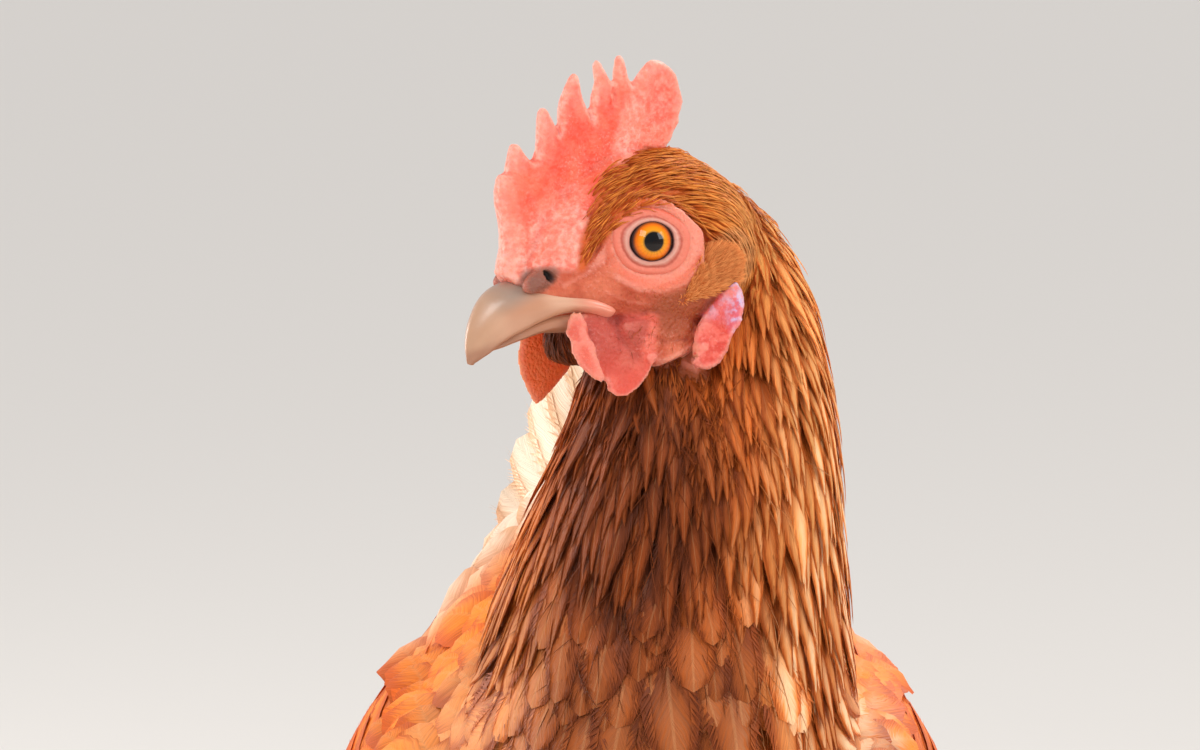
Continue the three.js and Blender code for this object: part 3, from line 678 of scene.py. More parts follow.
    def _pebbles(self) -> bpy.types.NodeTree:
        """The fine grain of bare skin: a height and pale flecks."""
        outputs = [("Height", "Float"), ("Flecks", "Float"), ("Blotch", "Float")]
        t, given, out = self._start("pebbles", ["Size"], outputs)
        scaled = t.node("VectorMath", t.place(), operation="SCALE")
        t.tree.links.new(given["Size"], scaled.inputs["Scale"])
        where = scaled.outputs[0]
        cell = t.node("TexVoronoi", named={"Vector": where, "Scale": 1.0}, feature="SMOOTH_F1")
        bumps = t.math("SUBTRACT", 1.0, cell.outputs["Distance"])
        fine = t.noise(2.1, 3.0, where)
        height = t.line(fine, 0.5, bumps)
        flecks = t.times(t.step(t.noise(1.3, 4.0, where), 0.52, 0.68), t.step(t.noise(130, 2.0), 0.42, 0.62))
        for socket, made in zip(out, (height, flecks, t.noise(160, 3.0))):
            t.tree.links.new(made, socket)
        return t.tree


def new_material(name: str) -> tuple[bpy.types.Material, Tree]:
    """A material and its empty tree."""
    made = bpy.data.materials.new(name)
    made.use_nodes = True
    return made, Tree(made.node_tree)


def set_stops(ramp: bpy.types.Node, stops: Sequence[tuple[float, Sequence[int]]], full: float) -> None:
    """Fills a colour ramp.

    Args:
        ramp: the ramp's node.
        stops: values and their display colours, from 0 to 255.
        full: the value at the ramp's end.
    """
    elements = ramp.color_ramp.elements
    while len(elements) < len(stops):
        elements.new(0.5)
    for element, (place, colour) in zip(elements, stops):
        element.position = place / full
        element.color = tint(*colour)


def finish_tree(t: Tree, colour: Socket, bump: Socket, depth: float, constants: dict[str, object]) -> None:
    """Ends a tree with a bump and the Principled shader.

    Args:
        t: the material's tree.
        colour: the base colour.
        bump: the height that the bump reads.
        depth: the bump's distance, in metres.
        constants: values set on the shader's own sockets.
    """
    normal = t.node("Bump", named={"Height": bump, "Distance": depth, "Strength": 1.0}).outputs[0]
    named: dict[str, object] = {"Base Color": colour, "Normal": normal, **constants}
    shader = t.node("BsdfPrincipled", named=named)
    out = t.node("OutputMaterial")
    t.tree.links.new(shader.outputs[0], out.inputs[0])


@dataclass(frozen=True)
class FeatherFinish:
    """How a kind of feather is coloured and how its barbs lie."""

    name: str
    barbs: float
    slant: float
    streak_width: float = 0.4
    streak_from: float = 0.35
    contrast: float = 0.22
    shaft: float = 0.12

    def make(self, groups: Groups) -> bpy.types.Material:
        """Builds the material from the shared markings and barbs."""
        made, t = new_material(self.name)
        plumage = t.node("Group", node_tree=groups.plumage).outputs
        barbs = t.node("Group", node_tree=groups.barbs, named={"Count": self.barbs, "Slant": self.slant})
        value, across, along = barbs.outputs
        tone = t.number("tone")
        middle = t.times(t.step(across, 1.1, 0.1), t.step(along, 0.1, 0.8))
        frayed = t.line(value, 0.3, -0.15)
        mood = t.line(tone, 0.5, -0.25)
        share = t.step(t.math("ADD", middle, t.math("ADD", frayed, mood)), 0.0, 1.0)
        body = t.mix(share, plumage["Edge"], plumage["Centre"])
        lane = t.step(t.math("ADD", across, t.line(value, 0.5, -0.25)),
                      self.streak_width, self.streak_width * 0.3)
        streak = t.times(lane, t.step(along, self.streak_from, self.streak_from + 0.35))
        share = t.times(streak, plumage["Streak"])
        share = t.times(share, t.step(tone, 0.1, 0.8))
        body = t.mix(share, body, tint(250, 214, 168))
        # The barbs' pattern and each feather's tone, times painted shade that darkens each vane towards its
        # root, where the feathers overlap.
        shade = t.line(value, self.contrast, 1.0 - self.contrast * 0.5)
        shade = t.times(shade, t.line(tone, 0.3, 0.85))
        shade = t.times(shade, t.line(t.step(along, 0.2, 0.8), 0.25, 0.8))
        shaft = t.times(t.step(across, 0.09, 0.03), self.shaft)
        body = t.mix(shaft, body, tint(236, 186, 130))
        level = t.node("CombineColor", shade, shade, shade).outputs[0]
        scaled = t.node("Mix", data_type="RGBA", blend_type="MULTIPLY")
        scaled.inputs[0].default_value = 1.0
        t.tree.links.new(body, scaled.inputs[6])
        t.tree.links.new(level, scaled.inputs[7])
        finish_tree(t, scaled.outputs[2], value, 0.0001,
                    {"Roughness": 0.48, "Specular IOR Level": 0.2})
        return made


# ---- feathers --------------------------------------------------------------------------------------


class Profile(Enum):
    """The outline of a vane."""

    ROUND = "round"
    LANCE = "lance"
    BROAD = "broad"
    FILAMENT = "filament"

    def widths(self, along: Array) -> Array:
        """Shares of the full half width from the root (0) to the tip (1)."""
        if self is Profile.FILAMENT:
            return 0.35 + 0.65 * (1 - along) ** 0.8
        if self is Profile.LANCE:
            return np.minimum(1, 0.3 + 2.2 * along) * (1 - 0.82 * smooth(along, 0.5, 1.06))
        if self is Profile.BROAD:
            tip = np.clip((along - 0.5) / 0.52, 0, 1)
            return np.minimum(1, 0.35 + 2.0 * along) * np.sqrt(1 - 0.96 * tip**1.7)
        tip = np.clip((along - 0.62) / 0.4, 0, 1)
        return np.minimum(1, 0.4 + 1.8 * along) * np.sqrt(1 - 0.93 * tip**2)


@dataclass(frozen=True)
class Cut:
    """The sizes of one kind of feather, in millimetres, and its barbs on each side.

    Its closed vane takes a share of its width, its web. Loose barbs reach over the rest.
    """

    length: float
    width: float
    profile: Profile
    segments: int
    lift: float
    barbs: int = 0
    sweep: float = 0.16
    bare: float = 0.1
    web: float = 0.86
    sunk: float = 0.6
    camber: float = 0.12
    fray: float = 0.06
    roll: float = 0.1
    yaw: float = 0.1
    vary: float = 0.12


class Ground:
    """The skin that feathers are rooted in."""

    def __init__(self, skin: bpy.types.Object) -> None:
        """Reads the skin's mesh into a search tree."""
        mesh = skin.data
        spots, normals = spots_of(mesh), normals_of(mesh)
        faces = [tuple(p.vertices) for p in mesh.polygons]
        self.tree = BVHTree.FromPolygons(spots.tolist(), faces)
        self.normals = unit(np.array([normals[list(face)].mean(0) for face in faces]))
        self.corners = np.array([spots[list((*face, face[-1])[:4])] for face in faces])
        self.areas = np.array([p.area for p in mesh.polygons]) / MM**2
        self.rooted: list[Array] = []

    def settle(self, spots: Array) -> tuple[Array, Array]:
        """The skin's nearest places to some points, and its normals there."""
        found = [self.tree.find_nearest(spot) for spot in spots.tolist()]
        return np.array([f[0] for f in found]), self.normals[[f[2] for f in found]]

    def close_by(self, roots: Roots, reach: float) -> Roots:
        """Only the roots within a distance of the skin, in millimetres."""
        foot, _ = self.settle(roots.spots)
        return roots.kept(np.linalg.norm(foot - roots.spots, axis=1) < reach * MM)

    def scattered(self, density: float, share: Callable[[Array], Array], rng: Draws) -> Array:
        """Random places on the skin.

        Args:
            density: places for each square millimetre.
            share: the share of that density at some places.
            rng: draws them.

        Returns:
            One row for each place.
        """
        wanted = self.areas * density * np.clip(share(self.corners.mean(1)), 0, 1)
        faces = np.repeat(np.arange(len(wanted)), rng.poisson(wanted))
        weights = rng.dirichlet(np.ones(4), len(faces))
        return (self.corners[faces] * weights[..., None]).sum(1)

    def open_places(self, share: Callable[[Array], Array], apart: float, rng: Draws) -> Array:
        """Places on the skin that no feather grows near.

        Args:
            share: 1 where such places are looked for.
            apart: how far they are from every root and from each other, in metres.
            rng: draws the places that are tried.

        Returns:
            One row for each place.
        """
        rooted = np.concatenate(self.rooted)
        tree = KDTree(len(rooted))
        for index, spot in enumerate(rooted.tolist()):
            tree.insert(spot, index)
        tree.balance()
        kept = np.empty((0, 3))
        for spot in self.scattered(0.15, share, rng):
            if tree.find(spot)[2] > apart and (np.linalg.norm(kept - spot, axis=1) > apart).all():
                kept = np.vstack([kept, spot])
        return kept


@dataclass
class Chart:
    """A rectangle of the coat's unwrap that belongs to one stretch of the skin."""

    low: tuple[float, float]
    size: tuple[float, float]

    def at(self, t: Array, angle: Array) -> Array:
        """The unwrap's place of a share along and an angle round the body."""
        turn = np.mod(angle / (2 * math.pi), 1)
        return np.stack([self.low[0] + turn * self.size[0], self.low[1] + t * self.size[1]], -1)


CHARTS = {
    "torso": Chart((0.01, 0.01), (0.58, 0.38)),
    "neck": Chart((0.61, 0.01), (0.38, 0.38)),
    "head": Chart((0.01, 0.41), (0.38, 0.28)),
    "wing_left": Chart((0.41, 0.41), (0.28, 0.28)),
    "wing_right": Chart((0.71, 0.41), (0.28, 0.28)),
    "tail": Chart((0.01, 0.71), (0.38, 0.28)),
    "thigh_left": Chart((0.41, 0.71), (0.28, 0.28)),
    "thigh_right": Chart((0.71, 0.71), (0.28, 0.28)),
}
PATCH = 0.003


@dataclass
class Roots:
    """Where feathers grow: places, and their places on the unwrap."""

    spots: Array
    mapped: Array

    def kept(self, which: Array) -> Roots:
        """Only some of the roots."""
        return Roots(self.spots[which], self.mapped[which])


def in_rows(loft: Loft, chart: Chart, span: tuple[float, float], gap: tuple[float, float],
            rng: Draws, out: float | Callable[[Array, Array], Array] = 0.0,
            loose: float = 0.22) -> Roots:
    """Roots in staggered rows round a loft.

    Args:
        loft: the body.
        chart: its place on the unwrap.
        span: the first and last share along it.
        gap: the distance between rows and between neighbours in a row, in millimetres.
        rng: draws the small offsets.
        out: distance out of the loft's surface, or a function of the places that gives it.
        loose: the offsets, as a share of the gaps.

    Returns:
        The roots.
    """
    ticks = np.linspace(*span, 400)
    path = loft.path.at(ticks)
    run = np.concatenate([[0], np.cumsum(np.linalg.norm(np.diff(path, axis=0), axis=1))])
    count = max(2, int(run[-1] / (gap[0] * MM)))
    shares, angles = [], []
    for row in range(count + 1):
        t = float(np.interp(run[-1] * row / count, run, ticks))
        around = max(3, int(loft.girth(t) / (gap[1] * MM)))
        steps = (np.arange(around) + 0.5 * (row % 2)) / around
        steps = steps + rng.normal(0, loose, around) / around
        slip = rng.normal(0, loose, around) * (span[1] - span[0]) / count
        shares.append(np.clip(t + slip, 0.002, 0.998))
        angles.append(steps * 2 * math.pi)
    t, angle = np.concatenate(shares), np.concatenate(angles)
    return Roots(loft.points(t, angle, out(t, angle) if callable(out) else out), chart.at(t, angle))


Flow = Callable[[Array], Array]


@dataclass
class Batch:
    """Many small closed solids of one make: their corners, maps and faces."""

    verts: Array
    vane: Array
    mapped: Array
    tone: Array
    faces: list[list[int]]
    sharp: list[tuple[int, int]]


@dataclass
class Coat:
    """One piece of the coat, gathered feather by feather and joined into one mesh."""

    name: str
    batches: list[Batch] = field(default_factory=list)

    def grow(self, ground: Ground, roots: Roots, cut: Cut, flow: Flow, rng: Draws,
             scale: Array | float = 1.0, base: float = 0.0,
             bare: Callable[[Array], Array] | None = None) -> None:
        """Lays one feather from each root along the skin.

        Args:
            ground: the skin.
            roots: where the feathers grow.
            cut: their sizes.
            flow: their direction at places.
            rng: draws how each one differs.
            scale: a size for each feather, as a share of the cut's.
            base: how far every feather is raised, in metres.
            bare: marks the places that no feather may cross.
        """
        count = len(roots.spots)
        if not count:
            return
        size = np.broadcast_to(scale, count) * (1 + rng.normal(0, cut.vary, count))
        size = np.clip(size, 0.3, 1.8)
        length = cut.length * MM * size
        swing = rng.normal(0, cut.yaw, count)
        lift = (cut.lift * (1 + rng.normal(0, 0.12, count)))[:, None] * MM * np.sqrt(size)[:, None]
        foot, normal = ground.settle(roots.spots)
        spots, ups = [], []
        free = np.ones(count, bool)
        for k in range(cut.segments + 1):
            share = along_at(k, cut.segments)
            height = -cut.sunk * MM + (lift + cut.sunk * MM) * (1 - (1 - share) ** 2) + base
            spots.append(foot + normal * height)
            ups.append(normal)
            if bare is not None:
                free &= ~bare(foot)
            if k == cut.segments:
                break
            ahead = flow(foot)
            ahead = unit(ahead - normal * (ahead * normal).sum(1, keepdims=True))
            ahead = ahead * np.cos(swing)[:, None] + np.cross(normal, ahead) * np.sin(swing)[:, None]
            reach = length * (along_at(k + 1, cut.segments) - share)
            foot, normal = ground.settle(foot + ahead * reach[:, None])
        half = 0.5 * cut.width * MM * size
        if free.any():
            lines, faced = np.stack(spots, 1)[free], np.stack(ups, 1)[free]
            self.lay(lines, faced, half[free], cut, roots.mapped[free], rng)
            ground.rooted.append(spots[0][free])

    def lay(self, spots: Array, ups: Array, half: Array, cut: Cut, mapped: Array,
            rng: Draws, lean: float = 0.0) -> None:
        """Builds vanes along middle lines.

        Args:
            spots: the lines, as [feather, station, 3].
            ups: the way each vane faces there.
            half: the half width of each feather, in metres.
            cut: how the feather is cut.
            mapped: each root's place on the unwrap.
            rng: draws the fray, the roll and the tone.
            lean: the roll that all of them share, in radians.
        """
        count, stations = spots.shape[:2]
        along = unit(np.gradient(spots, axis=1))
        across = unit(np.cross(along, ups))
        up = np.cross(across, along)
        roll = rng.normal(lean, cut.roll, count)[:, None, None]
        across, up = across * np.cos(roll) + up * np.sin(roll), up * np.cos(roll) - across * np.sin(roll)
        shares = all_along(stations - 1)
        vane_width = cut.web if cut.barbs else 1.0
        outline = cut.profile.widths(shares)[None, :] * half[:, None] * vane_width
        sides = []
        for side in (-1, 1):
            fray = 1 + rng.normal(0, cut.fray, (count, stations)) * (shares > 0.25)
            reach = (outline * np.clip(fray, 0.5, 1.4))[..., None]
            sides.append(spots + across * side * reach - up * cut.camber * reach)
        crest = spots + up * (0.05 * outline[..., None] + 0.05 * MM)
        rings = np.stack([sides[0], crest, sides[1]], 2)[:, :-1].reshape(count, -1, 3)
        verts = np.concatenate([rings, spots[:, -1:]], 1)
        u = np.tile([0.0, 0.5, 1.0], stations - 1)
        v = np.repeat(shares[:-1], 3)
        vane = np.stack([np.append(u, 0.5), np.append(v, 1.0)], -1)
        tone = rng.random(count)
        vane = np.broadcast_to(vane, (count, *vane.shape))
        self.batches.append(Batch(verts, vane, mapped, tone, *self._vane_faces(stations)))
        if cut.barbs:
            self._fringe(np.stack([crest, across, up]), shares, half, cut, mapped, tone, rng)

    def _fringe(self, frame: Array, shares: Array, half: Array, cut: Cut, mapped: Array, tone: Array,
                rng: Draws) -> None:
        """Adds the barbs of both sides: slim blades from inside the vane out past its margin.

        Args:
            frame: the crest, the way across and the way up at each station.
            shares: the stations' shares of the length.
            half: the half width of each feather.
            cut: how the feather is cut.
            mapped: each root's place on the unwrap.
            tone: each feather's tone.
            rng: draws how the barbs differ.
        """
        count = len(half)
        gap = (0.97 - cut.bare) / cut.barbs

        def at(places: Array) -> Array:
            """The frame at shares of each feather, also a little past its tip."""
            before = np.clip(np.searchsorted(shares, places) - 1, 0, len(shares) - 2)
            part = (places - shares[before]) / (shares[before + 1] - shares[before])
            rows = np.arange(count)[:, None]
            low, high = frame[:, rows, before], frame[:, rows, before + 1]
            return low + (high - low) * part[None, ..., None]

        for side in (-1, 1):
            root = cut.bare + gap * np.arange(cut.barbs) + rng.normal(0, 0.2 * gap, (count, cut.barbs))
            tip = root + cut.sweep * (1 + rng.normal(0, 0.2, root.shape))
            reach = cut.profile.widths(np.clip(root + 0.7 * cut.sweep, 0, 1)) * half[:, None]
            reach = (reach * (1 + rng.normal(0.0, 0.06, root.shape)))[..., None]
            inner = 0.7 * cut.web * cut.profile.widths(np.clip(root, 0, 1))[..., None] * half[:, None, None]
            ends = at(tip)
            blade = []
            aside = 0.45 * gap * side
            for place, height in ((root - aside, 0.03), (root + aside, 0.03), (root, -0.1)):
                crest, across, up = at(place)
                blade.append(crest + across * side * inner - up * (cut.camber * inner - height * MM))
            drop = cut.camber * reach - rng.normal(0.02, 0.03, reach.shape) * MM
            blade.append(ends[0] + ends[1] * side * reach - ends[2] * drop)
            verts = np.stack(blade, 2).reshape(-1, 4, 3)
            across = np.full(root.shape, 0.5 + 0.3 * side)
            u = np.stack([across, across, across, across + 0.2 * side], -1)
            v = np.stack([root, root, root, tip], -1)
            vane = np.stack([u, np.clip(v, 0, 1)], -1).reshape(-1, 4, 2)
            faces = [[0, 3, 1], [0, 1, 2], [1, 3, 2], [3, 0, 2]]
            edges = [(0, 1), (0, 2), (0, 3), (1, 2), (1, 3), (2, 3)]
            roots = np.repeat(mapped, cut.barbs, axis=0)
            self.batches.append(Batch(verts, vane, roots, np.repeat(tone, cut.barbs), faces, edges))

    @staticmethod
    def _vane_faces(stations: int) -> tuple[list[list[int]], list[tuple[int, int]]]:
        """The faces of one vane, and its sharp edges."""
        faces, sharp = [[0, 2, 1]], [(0, 2), (0, 1), (1, 2)]
        for k in range(stations - 2):
            left, crest, right = (3 * k + i for i in range(3))
            faces += [[left, crest, crest + 3, left + 3], [crest, right, right + 3, crest + 3],
                      [right, left, left + 3, right + 3]]
            sharp += [(left, left + 3), (right, right + 3)]
        left, crest, right = (3 * (stations - 2) + i for i in range(3))
        tip = 3 * (stations - 1)
        faces += [[left, crest, tip], [crest, right, tip], [right, left, tip]]
        sharp += [(left, tip), (right, tip)]
        return faces, sharp

    def piece(self, material: bpy.types.Material, slot: str) -> None:
        """Joins the feathers into one object that rides on the hen.

        Args:
            material: their material.
            slot: the name of their finish.
        """
        co, corners, starts, vane_uv, bake_uv, tones, sharp = [], [], [], [], [], [], []
        first_vert = first_corner = triangles = 0
        for batch in self.batches:
            count, each = batch.verts.shape[:2]
            flat = np.concatenate(batch.faces)
            sizes = np.array([len(f) for f in batch.faces])
            offsets = first_vert + np.arange(count)[:, None] * each
            corners.append((offsets + flat).ravel())
            begin = np.concatenate([[0], np.cumsum(sizes)[:-1]])
            starts.append((first_corner + np.arange(count)[:, None] * len(flat) + begin).ravel())
            co.append(batch.verts.reshape(-1, 3))
            vane_uv.append(batch.vane.reshape(-1, 2))
            bake_uv.append((batch.mapped[:, None, :] + (batch.vane - 0.5) * PATCH).reshape(-1, 2))
            tones.append(np.repeat(batch.tone, each))
            sharp.append((offsets[:, :, None] + np.array(batch.sharp)).reshape(-1, 2))
            first_vert += count * each
            first_corner += count * len(flat)
            triangles += count * int((sizes - 2).sum())
        corner = np.concatenate(corners)
        begins = np.concatenate(starts)
        mesh = bpy.data.meshes.new(self.name)
        mesh.vertices.add(first_vert)
        mesh.vertices.foreach_set("co", np.concatenate(co).astype(np.float32).ravel())
        mesh.loops.add(first_corner)
        mesh.loops.foreach_set("vertex_index", corner.astype(np.int32))
        mesh.polygons.add(len(begins))
        mesh.polygons.foreach_set("loop_start", begins.astype(np.int32))
        mesh.update(calc_edges=True)
        for label, values in (("Vane", vane_uv), ("OFBake", bake_uv)):
            layer = mesh.uv_layers.new(name=label)
            layer.uv.foreach_set("vector", np.concatenate(values)[corner].astype(np.float32).ravel())
        note(mesh, "tone", np.concatenate(tones))
        mesh.shade_smooth()
        self._sharpen(mesh, np.concatenate(sharp))
        made = bpy.data.objects.new(self.name, mesh)
        bpy.context.scene.collection.objects.link(made)
        LOG.info("%s: %d triangles", self.name, triangles)
        settle_piece(made, material, slot)

    @staticmethod
    def _sharpen(mesh: bpy.types.Mesh, pairs: Array) -> None:
        """Marks the margins of the vanes as sharp."""
        ends = np.empty(len(mesh.edges) * 2, np.int32)
        mesh.edges.foreach_get("vertices", ends)
        total = len(mesh.vertices)
        keys = np.sort(ends.reshape(-1, 2), 1).astype(np.int64) @ [total, 1]
        wanted = np.sort(pairs, 1).astype(np.int64) @ [total, 1]
        flags = mesh.attributes.new("sharp_edge", "BOOLEAN", "EDGE")
        flags.data.foreach_set("value", np.isin(keys, wanted))


def along_at(k: int, segments: int) -> float:
    """The share of a feather's length at a station, closer together at the tip."""
    return 1 - (1 - k / segments) ** 1.25


def all_along(segments: int) -> Array:
    """The shares of a feather's length at all its stations."""
    return np.array([along_at(k, segments) for k in range(segments + 1)])


def settle_piece(piece: bpy.types.Object, material: bpy.types.Material, slot: str, *nodes: str) -> None:
    """Finishes a piece that rides on the hen.

    Args:
        piece: the piece.
        material: its only material.
        slot: the name of its finish; not used.
        nodes: the solids that it stands for.
    """
    piece.data.materials.clear()
    piece.data.materials.append(material)
    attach(piece, "root")
    if nodes:
        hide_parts(*nodes)
    LOG.info("%s: %d faces", piece.name, len(piece.data.polygons))


# ---- skin ------------------------------------------------------------------------------------------

COMB_EDGE = [
    (19, -9), (24.5, -8.0), (27.7, -5.3), (27.4, -3.1), (26.8, -0.8), (27.0, 2.0), (27.4, 4.5), (28.1, 7.8),
    (28.1, 10.3), (27.7, 12.3), (27.2, 13.1), (26.1, 13.0), (25.7, 14.7), (25.2, 16.9), (24.8, 18.4),
    (24.1, 18.9), (23.4, 18.4), (22.3, 17.0), (20.8, 15.4), (19.9, 15.7), (19.2, 17.7), (19.2, 20.5),
    (19.0, 23.4), (18.6, 24.8), (17.9, 25.5), (17.2, 24.9), (16.3, 23.4), (15.2, 21.4), (14.8, 20.3),
    (14.5, 22.5), (14.5, 25.0), (13.9, 27.2), (12.8, 29.4), (12.0, 30.9), (11.1, 31.7), (10.2, 30.9),
    (9.9, 29.4), (9.4, 27.1), (8.3, 24.7), (7.6, 22.9), (7.4, 25.3), (7.0, 27.9), (6.4, 29.8), (6.7, 31.7),
    (6.8, 33.2), (6.1, 34.1), (5.1, 33.5), (4.2, 31.9), (3.2, 29.9), (2.7, 28.2), (2.4, 26.2), (2.1, 28.7),
    (2.1, 31.4), (1.8, 34.0), (1.0, 34.9), (0.2, 34.1), (-0.5, 32.2), (-1.1, 30.3), (-1.8, 29.1),
    (-2.6, 30.2), (-3.9, 31.9), (-5.5, 33.3), (-6.6, 33.7), (-8.6, 33.3), (-10.6, 32.2), (-11.8, 30.6),
    (-12.3, 28.6), (-12.9, 26.6), (-13.1, 25.5), (-12.7, 24.2), (-12.2, 22.8), (-12.4, 21.7), (-11.7, 20.6),
    (-10.6, 19.5), (-9.9, 18.4), (-8.6, 17.4), (-7.0, 16.0), (-6, 12),
]

# The lower margin of the crown's feathers on the side of the head: forward and up of the eye.
BROW_FORWARD = [-16, -12, -8, -4, 0, 4, 8, 12, 14.8]
BROW_UP = [-2, -1, 2.6, 6.6, 7.4, 6.8, 3.4, -1.2, -4.8]
EYE_SWING = math.radians(20)  # how far the eyes look forward of straight sideways
LID_HALF = (4.4, 3.85)  # the opening between the lids, forward and up
LID_RING = 4.35  # the opening's radius before it is brought to LID_HALF
COMB_FOOT = [(-6, 6), (8, 2)]  # closes the comb's outline inside the skull
NOSTRIL = (20.7, -5.7)
FLAP = (22.3, -6.4)  # the flap over the nostril
LOBE_REAR = [(-15.6, -8.5), (-16.4, -12), (-15.4, -15.8)]  # where the earlobe is palest

# The rounded forms of one side of the head: place and half sizes, and the turn about the sideways axis.
SIDE_FORMS = {
    "orbit": ((9.4, -0.2, 0.4), (6.2, 9.6, 9.2), 0.0),
    "ear": ((12.6, 11.4, -5.2), (2.4, 5.2, 4.8), 0.0),
    "nostril flap": ((5.4, -22.2, -6.4), (2.1, 3.8, 1.8), 0.57),
    "jowl": ((9.4, 2.6, -16.4), (3.2, 9.4, 7.6), 0.0),
    "wattle root": ((1.2, -9.6, -18.4), (4.6, 6.4, 6.2), 0.0),
}

# The folds of the cheek and of the corner of the mouth: line, width and height.
CHEEK_FOLDS = [
    (((8.5, -6.2), (4.5, -8.6), (0, -9.0), (-4.5, -7.4), (-7.0, -4.2)), 0.7, 0.28),
    (((10.5, -8.8), (6, -10.8), (1.5, -11.6)), 0.6, 0.2),
    (((8.5, -14.6), (5.5, -14.2), (2.5, -13.4)), 0.7, -0.25),
    (((18, -7.4), (13.5, -4.8), (9.5, -1)), 0.7, 0.2),
    (((24, -4.6), (20.5, -2.2), (16.5, 1.8)), 0.5, 0.22),
    (((22.8, -2.8), (19.4, -0.4), (16.5, 3.4)), 0.5, 0.2),
    (((2, -17.0), (-2, -19.0), (-6.5, -18.6)), 0.6, -0.3),
    (((1.5, -21.6), (-1.5, -22.4), (-5.1, -21.4), (-8.4, -19.9)), 0.9, 0.6),
    (((-7, 3.4), (-8.4, -1), (-8.0, -5)), 0.6, 0.25),
]


def drawn_reach(outline: Points, middle: tuple[float, float], angle: Array) -> Array:
    """How far a drawn outline is from a middle inside it.

    Args:
        outline: its corners, as forward and up.
        middle: the place that is measured from.
        angle: angles at the middle, from forward towards up.

    Returns:
        One distance for each angle.
    """
    corners = np.array([*outline, outline[0]])
    shares = np.arange(0, len(outline), 0.1)
    steps = np.arange(len(corners))
    dense = np.stack([np.interp(shares, steps, corners[:, k]) for k in (0, 1)], -1) - middle
    turns = np.arctan2(dense[:, 1], dense[:, 0])
    order = np.argsort(turns)
    return np.interp(angle, turns[order], np.hypot(*dense.T)[order], period=2 * math.pi)


@dataclass(frozen=True)
class Fold:
    """A thin hanging fold of skin with a drawn outline, in the head's frame.

    The outline is given as forward and up. The fold's middle stands out sideways by out, by more towards its
    rear by splay for each millimetre, its hanging rim by dish more than its middle, and its top by tuck less.
    """

    outline: Points
    middle: tuple[float, float]
    out: float
    splay: float = 0.0
    dish: float = 0.0
    thick: float = 0.9
    rim: float = 0.9
    crinkle: float = 0.0
    tuck: float = 0.0

    def add(self, bm: BMesh, side: int) -> None:
        """Adds the fold's shell to one side of the head."""
        made, round_co = sphere(bm, 96, 64)
        x, y, z = round_co.T
        reach, angle = np.hypot(y, z), np.arctan2(z, y)
        edge = drawn_reach(self.outline, self.middle, angle)
        edge = edge * (1 + self.crinkle * np.sin(17 * angle + 2 * np.sin(5 * angle)))
        f = self.middle[0] + reach * edge * np.cos(angle)
        u = self.middle[1] + reach * edge * np.sin(angle)
        half = self.thick + (self.rim - self.thick) * reach**4
        hung = smooth(np.sin(angle), 0.75, -0.1) * smooth(np.cos(angle), 0.9, 0.3)
        lift = self.dish * reach**3 * hung + self.crinkle * 7 * np.sin(13 * angle) * reach**4
        lift = lift - self.tuck * smooth(np.sin(angle) * reach, 0.1, 0.8)
        s = self.out + self.splay * (self.middle[0] - f) + lift + np.sign(x) * np.abs(x) ** 0.6 * half
        set_places(made, np.stack([side * s, -f, u], -1) * MM)


NEAR_LOBE = Fold(
    ((13.4, -22.4), (12.7, -24.4), (11.6, -25.5), (10.3, -26.1), (10.7, -27.6), (9.1, -28.6), (6.5, -28.7),
     (3.6, -27.0), (1.4, -24.3), (0.4, -21.3), (1.2, -18.6), (3.4, -16.4), (6, -13.6), (10.5, -12.4),
     (14.6, -13.2), (14.6, -18)),
    middle=(7.0, -21.2), out=9.8, dish=2.2, thick=0.8, rim=0.8, crinkle=0.003, tuck=1.6)
NEAR_FOLD = Fold(
    ((17.0, -12.4), (18.0, -15.0), (18.3, -17.6), (18.0, -20.2), (16.6, -22.8), (14.6, -24.8), (13.0, -25.8),
     (12.1, -25.0), (12.8, -23.2), (13.7, -20.4), (14.1, -17.6), (14.2, -14.8), (15.2, -12.4)),
    middle=(15.9, -18.4), out=11.6, splay=0.42, thick=0.8, rim=0.7, tuck=2.4)
FAR_LOBE = Fold(
    ((17.4, -18.5), (18.1, -21.3), (18.2, -23.6), (17.6, -26.1), (16.2, -28.7), (14.7, -31.1),
     (13.4, -32.4), (11.1, -31.1), (8.5, -28.9), (5.8, -26.6), (3.4, -23), (3.2, -18), (6, -14.5),
     (11, -13.0), (15.6, -15.0)),
    middle=(11.5, -22), out=9.6, splay=0.12, dish=0.6, thick=0.6, rim=0.6, crinkle=0.003)
WATTLES = {1: (NEAR_LOBE, NEAR_FOLD), -1: (FAR_LOBE,)}
EARLOBE = Fold(
    ((-15.6, -7.4), (-16.9, -9.4), (-17.2, -12.4), (-16.0, -15.5), (-14.2, -18.0), (-13.2, -21.1),
     (-11.8, -23.5), (-9.4, -24.8), (-7.0, -24.4), (-6.1, -23.1), (-7.6, -21.2), (-7.3, -18.4),
     (-8.1, -15.8), (-10.0, -13.1), (-12.0, -10.4), (-13.9, -8.4)),
    middle=(-12.0, -15.6), out=14.6, splay=0.22, dish=1.4, thick=1.6, rim=1.1, crinkle=0.006)


def drawn_in(t: Array, angle: Array) -> Array:
    """Draws the nape in, and the neck behind the near earlobe."""
    nape = (4.8 * smooth(t, 0.55, 0.68) + 3.0 * smooth(t, 0.68, 0.8)) * smooth(np.sin(angle), 0, -0.55)
    lobe = 7.0 * smooth(t, 0.5, 0.63) * bell(angle, 1.4, 0.5)
    return -(nape + lobe) * MM


